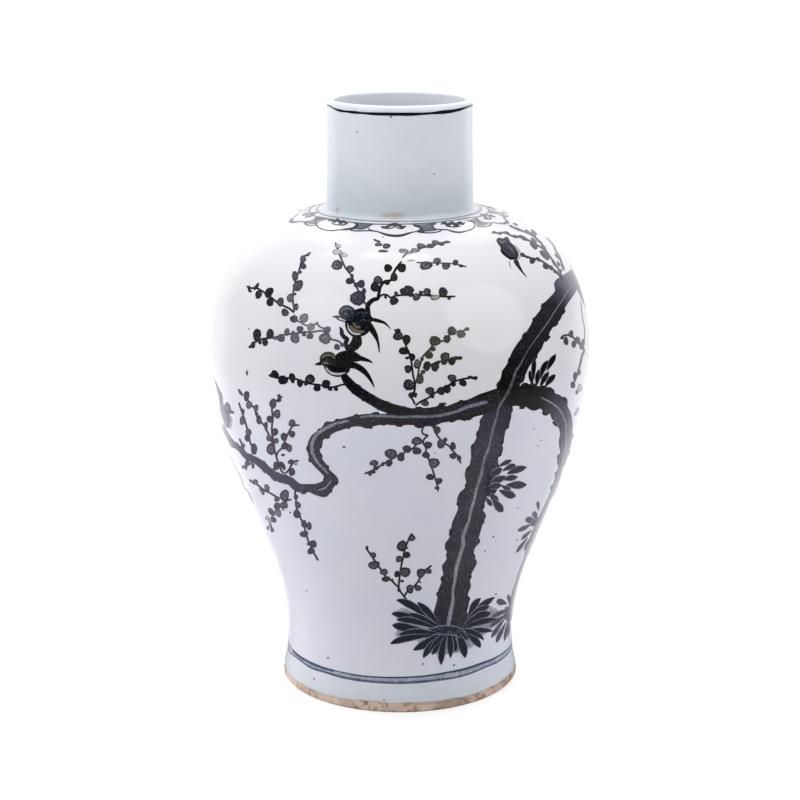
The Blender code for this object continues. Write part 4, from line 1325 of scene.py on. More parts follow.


# twigs with their blossoms, photo pixels: stems (x, y); blossoms (x, y, width, height) by the way they were
# washed in, or (x, y, x, y, width) for one that leans from its first point to its second; the blossoms paled
# high on the shoulder and at the upper left are painted reflection, where the studio lamps are mirrored over
# them, and the olive one on the third row carries a painted glint
twigPicks = {
    "topLeft": {
        "ink": ink(1, violet=0.03), "stem": [(246, 286), (250, 288), (256, 288), (262, 291), (268, 295),
            (273, 299), (278, 303), (284, 306), (290, 309), (294, 313)],
        "dark": [(249, 288, 3, 5), (250, 291, 4, 3), (254, 290, 259, 283, 3.5), (258.5, 294.5, 7, 9),
            (265, 297, 273, 288, 8), (270, 302, 7, 10)],
        "grey": [(280.5, 302, 7, 10), (285, 312.5, 8, 8), (294, 319, 8, 8)],
        # painted reflection: this blossom is paled as a studio lamp mirrored over it would pale it
        "reflectionPaled": [(304, 318, 9, 10)],
    },
    "topLeftUp": {
        "ink": ink(0.82, hue=0.05, violet=0.3), "stem": [(294, 313), (294, 308), (293, 302), (293, 294),
            (294, 288), (296, 279), (299, 271), (301, 263), (303, 257), (307, 255), (311, 252)],
        "dark": [(296, 307, 6, 7), (295, 294, 3, 3), (294, 291, 302, 280, 9), (295, 276, 7, 10),
            (300, 272, 4, 4), (303, 266, 7, 7), (303, 259, 6, 8), (308, 255, 3, 3)],
        "grey": [(290, 298, 7, 9)],
    },
    "topLeftLink": {
        "ink": ink(0.76, hue=-0.3, violet=0.5), "stem": [(327, 329), (320, 327), (317, 324), (311, 326),
            (305, 325), (300, 322), (296, 320), (294, 314)],
        "dark": [(317, 323, 3, 3)],
        "grey": [(311, 327, 8, 8)],
    },
    "middleLeft": {
        "ink": ink(1, hue=-0.05, violet=0.08), "stem": [(280, 336.5), (270, 338), (262, 339), (257, 341),
            (253, 344), (249, 347)],
        "dark": [(253, 345, 5, 7), (250, 347, 3, 3), (257, 335, 9, 13), (260, 342, 4, 5), (265, 342, 6, 9),
            (268, 339, 272, 329, 8)],
    },
    "middleLeftRoot": {
        "ink": ink(0.86, hue=-0.35, violet=0.45), "stem": [(346, 348), (342, 344), (338, 341), (331, 339),
            (327, 333), (322, 331), (312, 332), (305, 332), (298, 333), (290, 334), (284, 335), (278, 337)],
        "dark": [(275, 338, 5, 4), (281, 338, 9, 8), (293, 332, 3, 3), (300, 329, 7, 7), (304, 334, 5, 5),
            (310, 336, 7, 7), (327, 330, 8, 8), (337, 347, 6, 7), (342, 345, 4, 4)],
        "grey": [(287, 332, 6, 8), (295, 338, 10, 11), (325, 338.5, 12, 12)],
    },
    "aboveBirds": {
        "ink": ink(0.92, hue=0.12, violet=0.25), "stem": [(335, 242), (338, 250), (341, 258), (345, 267),
            (351, 275), (354, 282), (358, 290), (363, 300), (367, 306)],
        "dark": [(352, 276, 4, 4), (350, 281, 9, 7), (356, 285, 5, 5), (361, 284, 8, 9), (358, 298, 16, 16),
            (364, 291, 5, 6)],
        # painted reflection: these blossoms are paled as the overhead softbox mirrored over them would pale
        # them
        "pale": [(338, 246, 7, 4), (337, 252, 10, 6), (344, 255, 7, 5)],
        "ring": [(337, 265, 12, 10), (350, 269, 8, 8)],
    },
    "topBud": {
        "ink": ink(0.9, hue=0.1, violet=0.2), "stem": [(373, 239), (377, 241), (381, 242)],
        "ring": [(378.5, 244.5, 7.4, 4.2), (386.5, 246, 8.6, 5.4)],
        "dark": [(383, 251.2, 10, 3)],
    },
    "birdStem": {
        "ink": ink(1), "stem": [(370, 322, 4.8), (368, 312, 5), (368, 305, 5), (373, 300, 4.4), (378, 298, 4),
            (379, 293, 3.4), (380, 288, 3), (384, 282, 3), (391, 280, 2.6), (394, 272, 2.4), (398, 266, 2.2),
            (402, 261, 2)],
        "dark": [(375, 287, 9, 11), (387, 283, 6, 4), (394, 277, 8, 9), (388, 268, 9, 8), (402, 268, 9, 9)],
        "ring": [(378, 280, 9, 9)],
    },
    "rowOne": {
        "ink": ink(0.86, violet=0.35), "stem": [(402, 258), (405, 255), (408, 253), (413, 252), (421, 248),
            (431, 246), (441, 243), (451, 242)],
        # painted reflection: these blossoms are paled violet as the overhead softbox mirrored over them would
        # pale them
        "violet": [(403.5, 251, 10, 5), (415, 250.5, 9, 5), (409, 253, 5, 3)],
        "ring": [(421, 246, 9, 6), (435.5, 242.5, 8, 5)],
        "dark": [(430.5, 246, 8, 5), (441.5, 244, 6, 4), (447, 242, 5, 3)],
    },
    "rowTwo": {
        "ink": ink(0.9, violet=0.25), "wide": 1.4,
        "stem": [(416, 262.5), (430, 263), (440, 263), (450, 263.5), (458, 264.5), (467, 267)],
        "ring": [(426, 265.5, 13, 9), (446, 266, 9, 7)],
        "grey": [(437, 260.5, 8, 6)],
        "dark": [(437.5, 264, 3.5, 3.5), (455.5, 262.5, 6, 6), (461, 266, 5, 3)],
        # painted reflection: this blossom is paled as the overhead softbox mirrored over it would pale it
        "pale": [(411, 260.5, 8, 2)],
    },
    "rowThree": {
        "ink": ink(0.98, violet=0.08), "stem": [(379, 297), (384, 294.5), (388, 295.5), (390, 297.5),
            (395, 296), (405, 295), (412, 295), (430, 295.5), (442, 296.5), (456, 296.5)],
        "dark": [(394, 301, 9, 8.5), (396, 294, 4, 6), (403.5, 291.5, 8, 7), (408.5, 290, 11, 10),
            (411, 295, 6, 4), (421, 292.5, 5, 4), (429, 295, 5, 4), (443, 292, 10, 9.5), (449, 298, 4, 4),
            (385.5, 297, 3, 4)],
        "ring": [(416.5, 297, 8, 8), (427, 291.5, 7.5, 7.5)],
        # an olive blossom whose pale inside is a painted glint
        "goldAndGlint": [(435, 297.5, 10, 6)],
    },
    "shoulderOne": {
        "ink": ink(0.9, violet=0.4), "stem": [(491, 232.5), (498, 233), (503, 232.5), (508, 234), (512, 236),
            (518, 236.5), (523, 238), (530, 241), (537, 245), (545, 250), (551, 258), (556, 265), (560, 272),
            (562, 277)],
        "dark": [(492, 231.5, 496, 232, 1.8), (500, 233.5, 5, 3), (503.5, 231.8, 509.5, 233.4, 2.6),
            (512, 235.2, 518.5, 238, 3.4), (519, 235.5, 528, 240.5, 4), (530, 242.5, 537.5, 249, 5),
            (540, 250.7, 549.5, 259.2, 6.4), (552, 260.5, 556.5, 266.5, 3), (557, 261, 560, 266.5, 2.6)],
    },
    "shoulderTwo": {
        "ink": ink(0.92, violet=0.45), "stem": [(509, 225.5), (516, 228.5), (524, 231.5), (530, 234),
            (537, 239), (546, 249)],
        "dark": [(509, 225, 514, 227.8, 2.6), (514, 227.4, 522, 231, 3), (513, 222.6, 516.5, 225.5, 2),
            (516, 223.5, 517.5, 226, 2), (525, 229.8, 530, 233.4, 3.4), (530, 232.2, 536, 236.8, 3.4),
            (531, 229.6, 537, 234.6, 3), (530.7, 238, 537, 243.2, 3.8), (536.5, 239, 542, 243.6, 2.4),
            (540.5, 245.6, 546.5, 250.8, 4)],
    },
    "shoulderThree": {
        "ink": ink(0.85, violet=0.6), "stem": [(546, 237), (552, 243), (556, 251), (560, 258), (563, 269)],
        # painted reflection: these buds are paled as the overhead softbox mirrored over them would pale them
        "reflectionPaled": [(547, 238, 550, 240.4, 2), (553, 244, 555.4, 248, 2)],
        "dark": [(554.6, 253.4, 560.4, 260, 3), (560.7, 261.4, 564.4, 270.7, 3)],
    },
    "shoulderFour": {
        "ink": ink(0.96, violet=0.35), "stem": [(520, 254), (525, 256), (528, 257), (533, 259), (538, 259),
            (543, 262), (549, 266), (555, 271), (560, 276), (563, 280)],
        "dark": [(520.7, 253, 525.2, 257, 4), (527.5, 257.2, 4, 3), (532.5, 260.5, 6.4, 7),
            (536, 257, 540, 261.4, 3.4), (543, 263.6, 548, 269, 5), (548.5, 265, 553, 270.2, 4),
            (553.5, 269.6, 557.2, 273.6, 3.4)],
        "ring": [(560, 271, 4.4, 4.4)],
    },
    "underBirds": {
        "ink": ink(1.03, hue=0.05), "stem": [(268, 375), (278, 378), (288, 378), (296, 379), (304, 382),
            (312, 384), (320, 385), (327, 387), (334, 387), (341, 385), (347, 384)],
        "dark": [(272, 375, 4, 6), (273, 370, 278, 378, 6), (284, 377, 3, 3), (283, 380, 11, 9),
            (292, 377, 7, 8), (293, 381, 4, 5), (300, 383, 7, 8), (306, 384, 4, 4), (317, 388, 8, 7),
            (326, 384, 9, 9), (330, 389, 5, 4), (336, 389, 5, 4)],
        "ring": [(310, 379, 10, 10)],
    },
    "fanOne": {
        "ink": ink(1.02), "stem": [(415, 405), (413, 400), (410, 396), (414, 392), (415, 385), (413, 375),
            (412, 367), (411, 360), (409, 353), (406, 346), (404, 340), (399, 335), (394, 329)],
        "dark": [(398, 331, 6, 5), (406.5, 339.5, 9, 10), (404, 351, 11, 8), (407, 358, 4, 3),
            (412, 357, 7, 8), (412, 395, 8, 6), (415, 395, 5, 5)],
        "ring": [(398, 336, 11, 9), (408, 369, 8, 8), (409, 385, 12, 12)],
    },
    "fanTwo": {
        "ink": ink(0.98, hue=-0.3, violet=0.12), "stem": [(415, 385), (418, 375), (419, 368), (421, 362),
            (422, 358), (426, 353), (430, 349), (433, 345), (437, 342), (443, 341), (448, 338), (450, 333),
            (453, 331), (459, 333), (463, 331), (469.5, 328.5)],
        "dark": [(420, 379, 8, 11), (423, 372, 5, 5), (422, 359, 4, 4), (429, 355, 8, 9), (433, 349, 6, 5),
            (435, 341, 13, 10), (447, 339, 8, 8), (452, 331, 9, 10), (461, 334, 9, 9), (467, 329, 5, 4)],
        "ring": [(417, 364, 7, 10)],
    },
    "fanThree": {
        "ink": ink(1, hue=-0.15, violet=0.05), "stem": [(422, 368), (427, 367), (433, 364), (437, 362),
            (443, 361), (450, 360), (455, 358), (461, 358)],
        "dark": [(427, 366, 8, 10), (435, 367, 8, 10), (438, 363, 4, 4), (444, 362, 7, 6), (452, 361, 8, 9),
            (456, 358, 6, 4), (460, 358, 5, 4)],
        "ring": [(445, 357, 10, 10)],
    },
    "fanFour": {
        "ink": ink(1, violet=0.04), "stem": [(415, 406), (420, 402), (428, 398), (435, 393), (442, 389),
            (449, 385), (456, 381), (463, 379), (470, 378), (477, 377)],
        "dark": [(432, 396, 5, 5), (441, 391, 8, 9), (447, 389, 8, 9), (453, 384, 6, 6), (463, 383, 8, 7),
            (470, 377, 5, 3), (475, 378, 6, 4)],
        "ring": [(430, 391, 9, 9), (425, 403, 8, 7), (452, 378, 9, 8)],
    },
    "uprightOne": {
        "ink": ink(0.93, violet=0.48), "stem": [(238.5, 402), (241, 409), (243, 415), (245, 421), (247, 428),
            (249, 435), (250, 442), (253, 448), (256, 455)],
        "dark": [(243, 412, 3.5, 7), (247, 438, 5, 8), (254, 449, 7, 11), (238, 389, 243, 396, 3)],
        "ring": [(242.5, 420.5, 6.5, 9), (248.5, 432, 6.5, 7)],
    },
    "uprightTwo": {
        "ink": ink(0.93, hue=-0.05, violet=0.42), "stem": [(246, 396), (250, 404), (255, 409), (256, 414),
            (259, 420), (264, 425), (267, 431), (270, 437), (272, 443)],
        "dark": [(246.5, 396, 6, 11), (257, 414, 3, 4), (259, 420, 6, 9), (266, 426, 4, 9)],
        "ring": [(249, 405, 6.5, 8), (256, 408, 5.5, 7), (269, 438, 6, 7)],
    },
    "uprightThree": {
        "ink": ink(0.96, hue=-0.1, violet=0.36), "stem": [(283, 396), (279, 399), (273, 404), (272, 410),
            (273, 418), (272, 425), (272, 432), (273, 440), (274, 448), (276, 455), (278, 462), (281, 470),
            (284, 474)],
        "dark": [(279, 396, 4, 4), (279, 400, 5, 5), (273, 403.5, 8, 10), (270, 419, 7, 8), (275, 432, 7, 8),
            (276, 466, 6, 9), (280, 461, 285, 470, 5)],
        "ring": [(277, 414, 8, 9), (276, 441, 6, 6), (271, 449, 10, 12)],
    },
    "uprightFour": {
        "ink": ink(0.96, hue=-0.1, violet=0.36), "stem": [(276, 459), (278, 452), (283, 447), (285, 441),
            (287, 436), (290, 430), (293, 426), (300, 425)],
        "dark": [(284, 437, 7, 9), (285, 446, 8, 8), (283, 455, 4, 3), (292, 434, 7, 7)],
        "ring": [(289, 448, 7, 8), (292, 423, 7, 8)],
    },
    "uprightFive": {
        "ink": ink(0.96, violet=0.36), "stem": [(284, 474), (288, 471), (291, 466), (294, 462), (298, 460)],
        "dark": [(291, 462, 6, 6), (297, 461, 4, 2), (296, 464, 3, 2), (292, 472, 7, 8)],
    },
    "leftBud": {
        "ink": ink(0.92, violet=0.5), "stem": [(239, 438), (242, 444), (244, 449)],
        "dark": [(243, 446, 4, 6)],
    },
    "underLeftBough": {
        "ink": ink(0.92, violet=0.5), "stem": [(254, 461), (249, 464.5), (242, 467)],
        "dark": [(247, 463, 5, 5), (246, 468, 3, 4), (243, 467, 3, 4), (253, 466, 3, 6)],
    },
    "belowLeftBough": {
        "ink": ink(0.9, violet=0.45), "stem": [(249, 479), (252, 482), (255, 483), (259, 486), (264, 490),
            (270, 493), (275, 496), (280, 500)],
        "grey": [(255, 482, 6, 6)],
        "ring": [(260, 487, 264, 495, 4), (265, 484, 269, 492, 5)],
        "dark": [(277, 499, 6, 6)],
    },
    "downOne": {
        "ink": ink(0.96, violet=0.38), "stem": [(298, 486), (295, 493), (296, 498), (296, 505), (298, 512),
            (301, 519), (304, 526), (306, 533), (308, 540), (311, 547), (314, 553), (318.5, 561)],
        "dark": [(296, 497, 5, 5), (297, 514, 8, 9), (304, 524, 6, 8), (304, 534, 9, 7), (313, 544, 8, 8),
            (308, 544, 3, 3), (311, 551, 8, 7)],
        "ring": [(284.5, 495.5, 10, 12), (298, 505, 6, 7), (309, 526, 6, 8)],
    },
    "downTwo": {
        "ink": ink(0.9, violet=0.46), "stem": [(292, 499), (286, 501), (281, 504), (279, 508), (275, 512),
            (272, 517), (270, 523), (274, 532)],
        "dark": [(285, 505, 6, 8), (280, 504, 284, 511, 2), (277, 506, 7, 8), (268, 508, 275, 516, 5),
            (274, 520, 5, 6), (268, 528, 3, 4), (272, 530, 3, 5)],
        "grey": [(278.5, 513, 6, 9)],
        "pale": [(270, 521, 4, 6), (267, 518, 4, 5)],
    },
    "hangingRight": {
        "ink": ink(0.98, hue=-0.1, violet=0.2), "stem": [(432, 426), (435, 430), (437, 435), (440, 439),
            (444, 443), (449, 446), (452, 450), (455, 453), (458, 457), (461, 464)],
        "dark": [(437, 430, 8, 8), (445, 440, 5, 5), (453, 446, 6, 8), (453, 456, 8, 6), (459, 458, 5, 6)],
        "ring": [(441, 444, 9, 9)],
    },
    "hangingMiddle": {
        "ink": ink(0.98, hue=-0.05, violet=0.18), "stem": [(424, 426), (422, 430), (423, 434), (428, 435.5),
            (425, 438), (423, 442), (426, 448), (426, 454), (429, 460), (431, 466), (433, 471), (435, 478),
            (437, 484), (438, 492)],
        "dark": [(417, 451, 9, 8), (428, 445, 8, 8), (426, 455, 8, 7), (430, 477, 8, 7), (439, 481, 7, 7),
            (437, 488, 6, 3)],
        "ring": [(417, 441, 11, 9), (434, 463, 11, 11)],
    },
    "hangingLeft": {
        "ink": ink(0.98, hue=-0.05, violet=0.22), "stem": [(423, 440), (417, 444), (412, 449), (407, 450),
            (401, 456), (395, 456), (389, 461), (383, 464), (377, 468), (369, 472), (364, 474)],
        "dark": [(407, 449, 9, 8), (401, 457, 8, 9), (389, 463, 8, 7), (383, 464, 3, 5), (376, 468, 6, 5),
            (372, 472, 8, 4), (370, 474, 4, 4)],
        "ring": [(391, 454, 13, 11), (374, 463, 10, 6)],
    },
    "rightEdge": {
        "ink": ink(1.0, violet=0.3), "stem": [(561, 337), (566, 335), (571, 336), (576, 340), (581, 345),
            (584, 350), (582, 356), (580, 365), (578, 372), (575, 380), (571, 388)],
        "dark": [(562, 338, 4, 3), (566, 341, 5, 9), (571, 334, 5, 8), (574, 344, 5, 8), (577, 340, 3, 8),
            (579, 341, 3, 8), (581, 346, 3, 8), (583, 343, 3, 10), (579, 372, 4, 7), (575, 376, 4, 8),
            (573, 385, 5, 7), (577, 392, 3, 5)],
        "pale": [(580, 388, 5, 8), (579, 407, 575, 416, 3)],
    },
    "rightSkyline": {
        "ink": ink(0.8, violet=0.5), "stem": [(580.5, 300), (583, 320), (584, 325), (584.5, 345)],
        "wide": 0.8,
    },
    "lowMiddle": {
        "ink": ink(1, violet=0.02), "stem": [(408, 602), (403, 595), (399, 589), (399, 582), (400, 574),
            (401, 567), (403, 558), (405, 549), (408, 541), (411, 535), (413, 533)],
        "dark": [(407, 548, 3, 2), (407, 555, 7, 7), (397, 574, 6, 7), (402, 581, 4, 3), (399, 590, 4, 4)],
        "ring": [(402, 546, 11, 11), (412, 538, 7, 7), (399, 559, 7, 7), (405, 572, 11, 11)],
    },
    "lowLeft": {
        "ink": ink(0.98, violet=0.06), "stem": [(399, 588), (395, 584), (391, 580), (386, 577), (383, 572),
            (379, 567), (375, 561), (371, 555), (367, 549), (366, 546)],
        "dark": [(367, 548, 3, 5), (386, 579, 9, 6), (392, 580, 3, 3)],
        "ring": [(373, 555, 7, 6), (374, 565, 12, 9), (384, 572, 8, 7)],
    },
    "lowRight": {
        "ink": ink(0.98, violet=0.06), "stem": [(404, 597), (407, 592), (412, 588), (417, 583), (420, 578),
            (422, 572), (427, 569), (432, 565)],
        "dark": [(420, 582, 2, 2)],
        "ring": [(410, 589, 8, 9), (418, 588, 8, 6), (421, 573, 9, 10), (428, 571, 8, 6)],
    },
}
blossomWash = {  # tones from the heart out, and how much more violet than the twig's own ink
    "dark": {"tones": (0.99, 0.86, 0.92, 1.0, 0.97), "violet": 0.0},
    "grey": {"tones": (0.92, 0.68, 0.76, 0.94, 0.84), "violet": 0.2},
    "ring": {"tones": (1.0, 0.64, 0.80, 1.0, 0.98), "violet": 0.05},
    # painted reflection: blossoms paled where a studio lamp is mirrored over them
    "reflectionPaled": {"tones": (0.66, 0.52, 0.58, 0.76, 0.62), "violet": 0.3},
    # painted reflection: blossoms paled violet where the overhead softbox is mirrored over them
    "violet": {"tones": (0.70, 0.54, 0.60, 0.84, 0.74), "violet": 0.9},
    # an olive wash whose pale inside is a painted glint
    "goldAndGlint": {"tones": (0.60, 0.30, 0.44, 0.78, 0.64), "violet": 0.0, "olive": 1.0},
    # high on the shoulder this is painted reflection, blossoms paled where the overhead softbox is mirrored
    # over them; lower down it is a plain pale wash
    "pale": {"tones": (0.44, 0.28, 0.34, 0.60, 0.46), "violet": 0.8},
}


def blossomAxes(picks):
    # centres and half axes, in pixels, of upright (x, y, w, h) and leaning (x, y, x, y, w) blossoms
    centres, halves = [], []
    for pick in picks:
        if len(pick) == 4:
            centres.append(pick[:2])
            halves.append([(pick[2] / 2, 0.0), (0.0, -pick[3] / 2)])
        else:
            x0, y0, x1, y1, wide = pick
            half = math.hypot(x1 - x0, y1 - y0) / 2
            centres.append(((x0 + x1) / 2, (y0 + y1) / 2))
            halves.append([((x1 - x0) / 2, (y1 - y0) / 2),
                           ((y1 - y0) / half * wide / 4, (x0 - x1) / half * wide / 4)])
    return np.array(centres), np.array(halves)


def paintTwigs(stems, blossoms, names, seed):
    dice = np.random.default_rng(seed)
    for place, name in enumerate(names):
        twig = twigPicks[name]
        wide = twig.get("wide", 2.0)
        stems.stroke(twig["stem"], twig["ink"], width=wide, ends=(1.5, 1.5), columns=3, layer=0.9)
        for wash, look in blossomWash.items():
            if wash in twig:
                centres, halves = blossomAxes(twig[wash])
                many = len(centres)
                paint = np.tile(twig["ink"], (many, 1))
                paint[:, 0] *= dice.uniform(0.94, 1.04, many)
                paint[:, 1] += dice.uniform(-0.09, 0.02, many) - look.get("olive", 0.0)
                paint[:, 2] += look["violet"] * (1 - paint[:, 2]) + dice.uniform(0.0, 0.12, many)
                blossoms.discs(centres, halves, look["tones"], paint, seed + place * 7)


# leaves, photo pixels: three places from root to tip or tip to root, and the width at the middle
leafPicks = {
    "boughTuft": [(532.5, 386, 531, 378, 529.5, 370, 4), (533.5, 380, 533.5, 369, 535, 357.5, 4.2),
        (536.5, 386, 537.5, 378, 539, 369, 4.6), (540, 379, 543, 369, 548, 360, 4.8),
        (547, 371, 551, 362, 556, 354, 4.8), (540, 387, 544, 379, 549, 371.5, 4.6),
        (545, 387, 550, 380, 555.5, 374.5, 5)],
    "trunkTuft": [(498, 467, 505, 463, 512, 460, 4), (502, 471, 510, 467, 516, 465, 5),
        (507, 474, 516, 470, 527, 467, 6), (502, 480, 510, 478, 518, 477, 5),
        (506, 485, 516, 485, 527, 484.5, 7), (501, 485, 506, 488, 511, 489.5, 4),
        (499, 490, 508, 494, 516, 496, 7), (490, 492, 494, 498, 499, 500, 6),
        (486, 497, 489, 502, 492, 506, 4), (492, 497, 498, 506, 503, 512, 7),
        (489, 476, 496, 472, 502, 468, 6), (489, 482, 497, 480, 506, 476, 6),
        (488, 487, 494, 486, 502, 485, 6)],
    "violetTuft": [(539, 511, 538, 505, 538, 501, 3), (537, 520, 535, 515, 535, 511, 5),
        (536, 521, 530, 520, 525, 520, 6), (531, 524, 524, 528, 517, 531, 4),
        (532, 530, 526, 535, 521, 540, 3), (528, 537, 521, 546, 516, 553, 3),
        (533, 535, 528, 543, 524, 551, 3), (541, 516, 535, 522, 531, 526, 5)],
    "rootGrass": [(438, 626, 414, 607, 396, 600, 6.5), (440, 626, 428, 612, 417, 602, 6),
        (436, 630, 408, 617, 391, 614, 6), (444, 629, 424, 620, 409, 613, 6.5),
        (440, 630, 414, 621, 396, 620, 5.5), (436, 634, 408, 628, 392, 625, 7.5),
        (440, 634, 418, 632, 398, 635, 6), (436, 635, 408, 638, 390, 644, 6),
        (468, 622, 473, 607, 481, 598, 5.5), (468, 624, 480, 608, 495, 597, 6),
        (464, 625, 477, 612, 490, 606, 6), (462, 628, 478, 617, 491, 613, 7.5),
        (460, 629, 480, 622, 497, 619, 5.5), (458, 631, 478, 630, 493, 631, 4.5),
        (460, 628, 474, 639, 480, 648, 6), (456, 630, 472, 632, 484, 640, 5),
        (442, 632, 428, 642, 413, 650, 7), (443, 633, 431, 646, 423, 658, 6),
        (446, 634, 438, 645, 432, 655, 5), (444, 636, 438, 640, 428, 652, 4),
        (456, 630, 462, 644, 465, 658, 7.5), (452, 630, 454, 642, 456, 652, 5),
        (449, 630, 450, 643, 450.5, 658, 5.5), (446, 634, 442, 650, 441, 665, 6)],
    "rightGrass": [(507, 604, 501, 602, 496, 602, 6), (510, 605, 509, 599, 508, 594, 3),
        (510, 608, 500, 613, 491, 617, 4), (505, 618, 497, 629, 491, 638, 4),
        (506, 622, 500, 634, 496, 643, 4), (508, 620, 506, 632, 504, 641, 3),
        (510, 619, 509, 628, 508, 637, 2), (507, 614, 497, 621, 490, 627, 4.5)],
}
leafWash = {
    "boughTuft": ink(1.05, hue=0.03),
    "trunkTuft": ink(0.95, violet=0.30),
    "violetTuft": ink(0.88, violet=0.95),
    "rootGrass": ink(1.03, hue=0.12),
    "rightGrass": ink(0.90, hue=0.35, violet=0.5),
}
leafEdge = {"wider": 1.22, "tone": 0.60, "step": 0.36}
grassHearts = {  # solid hearts of the tufts and the pale wash under them, photo pixels
    "rootHeart": [(424, 617), (434, 613), (448, 612), (462, 611), (473, 616), (480, 625), (472, 638),
        (452, 644), (434, 643), (420, 637), (414, 628)],
    "rootFront": [(428, 627), (436, 624.5), (448, 626), (460, 624.5), (470, 626), (475, 631), (470, 638),
        (452, 643), (436, 642), (424, 637)],
    "trunkHeart": [(487, 474), (493, 471), (499, 475), (499, 484), (496, 492), (489, 497), (485, 492),
        (486, 483)],
    "rightHeart": [(505, 607), (512, 606), (513, 614), (509, 622), (504, 618)],
    "leftWash": [(393, 612), (402, 608), (416, 613), (428, 622), (430, 634), (416, 641), (404, 640),
        (395, 635), (399, 626)],
    "rightWash": [(471, 613), (477, 607), (490, 606), (499, 611), (498, 621), (490, 631), (478, 638),
        (468, 637), (470, 626)],
    "lowWash": [(414, 636), (430, 638), (450, 640), (470, 636), (476, 644), (466, 650), (450, 654),
        (438, 655), (424, 650)],
}
grassLines = [[(428, 629), (438, 626), (448, 625.5), (458, 627), (466, 632)], [(432, 634.5), (444, 634),
    (454, 635), (462, 638)]]


def paintLeaf(brush, leaf, paint, place):
    # a leaf is drawn twice, a paler blurred edge under a dark blade; it swells from its root as the sine of
    # the way along and ends in a point; each leaf lies over the one before
    x0, y0, x1, y1, x2, y2, wide = leaf
    share = np.linspace(0, 1, 10)
    curve = np.stack([(1 - share) ** 2 * a + 2 * share * (1 - share) * (2 * b - (a + c) / 2) + share ** 2 * c
                      for a, b, c in ((x0, x1, x2), (y0, y1, y2))], 1)
    widths = np.maximum(wide * (np.sin(math.pi * share ** 1.35) ** 0.85 + 0.22 * (1 - share) ** 2), 0.3)
    layer = 1.2 + place * leafEdge["step"]
    edge = (paint[0] * leafEdge["tone"], max(paint[1], 0.25), paint[2], 0.0)
    blurred, blade = (np.column_stack([curve, widths * wider]) for wider in (leafEdge["wider"], 1.0))
    over = layer + leafEdge["step"] * 0.6
    brush.stroke(blurred, edge, ends=(0.5, 0.5), layer=layer, edgeTone=0.6)
    brush.stroke(blade, paint, ends=(0.5, 0.5), layer=over, edgeTone=0.95, middleTone=0.95)


def paintTufts(brush, names):
    for name in names:
        for place, leaf in enumerate(leafPicks[name]):
            paintLeaf(brush, leaf, leafWash[name], place)


def paintGrass(brush, heart=True):
    # the big clump at the tree's root: pale wash, dark heart, leaves, and the light lines left between them
    solid = (1.0, 1.0, 1.0, 0.95, 0.7)
    for name in ("leftWash", "rightWash", "lowWash"):
        brush.patch(grassHearts[name], ink(0.40, hue=0.9), tones=(1.0, 1.0, 1.0, 0.9, 0.4), layer=0.2)
    if heart:
        brush.patch(grassHearts["rootHeart"], ink(0.94, hue=0.2), tones=solid, layer=-0.6)
    brush.patch(grassHearts["rootFront"], ink(0.94, hue=0.25, bark=0.6), tones=solid)
    paintTufts(brush, ["rootGrass"])
    for line in grassLines:
        brush.stroke(line, ink(0.44, hue=0.8), width=0.9, layer=11, edgeTone=1.2, columns=3)


# birds, photo pixels; each outline goes once round
birdPicks = {
    "upperBody": [(352, 311), (357, 309), (363, 308), (368, 312), (372, 317), (378, 320.5), (371, 322),
        (370.5, 330), (364, 334), (356, 336), (350.5, 334), (347.5, 329), (346, 320), (349, 314)],
    "upperHead": [(339, 313), (340.5, 309), (343.5, 306.5), (348, 306), (352, 308), (354.5, 311.5),
        (354, 317), (350, 321), (345, 320), (341, 318.5)],
    "stub": [(352.5, 336), (357, 335.5), (361, 336.5), (362, 341), (361.5, 345), (359, 348), (356, 350.5),
        (351, 352), (346, 350), (347.5, 346), (350.5, 342), (352, 339)],
    "lowerBody": [(334, 357), (338, 353), (343, 351), (352, 350.5), (358, 353.5), (361, 356), (361, 360.5),
        (354, 362), (351, 366), (349, 372), (344, 375), (336, 375.5), (329, 372.5), (325, 367.5), (327, 362)],
    "lowerHead": [(320, 361), (321, 356.5), (324, 353.5), (328.5, 352.5), (333, 354), (336, 357.5),
        (336, 363), (332, 367), (326, 367), (321.5, 364.5)],
    "rightBody": [(496.3, 240.5), (497.5, 238.2), (500, 237.8), (503, 238.6), (505.5, 237), (507.5, 236.8),
        (509, 239), (511, 243), (513.5, 244.8), (516, 248.5), (518.3, 252.5), (518.6, 256), (516.5, 259.3),
        (512.5, 259), (510.5, 260), (508.5, 258.3), (504.5, 255), (501.3, 251.3), (500, 246.5), (498, 244)],
    "edgeBody": [(214, 377), (217, 384), (220, 390), (222.5, 396), (223, 403), (226, 409), (230, 416),
        (230.5, 422), (228.5, 428), (226, 427), (223, 420), (220.5, 412), (219.5, 404), (218.5, 396),
        (216, 386)],
    "edgeHead": [(224.5, 408), (224.8, 404.5), (226.5, 402), (229, 403.5), (230.5, 407), (231, 411),
        (229.5, 414.5), (226.5, 413)],
}

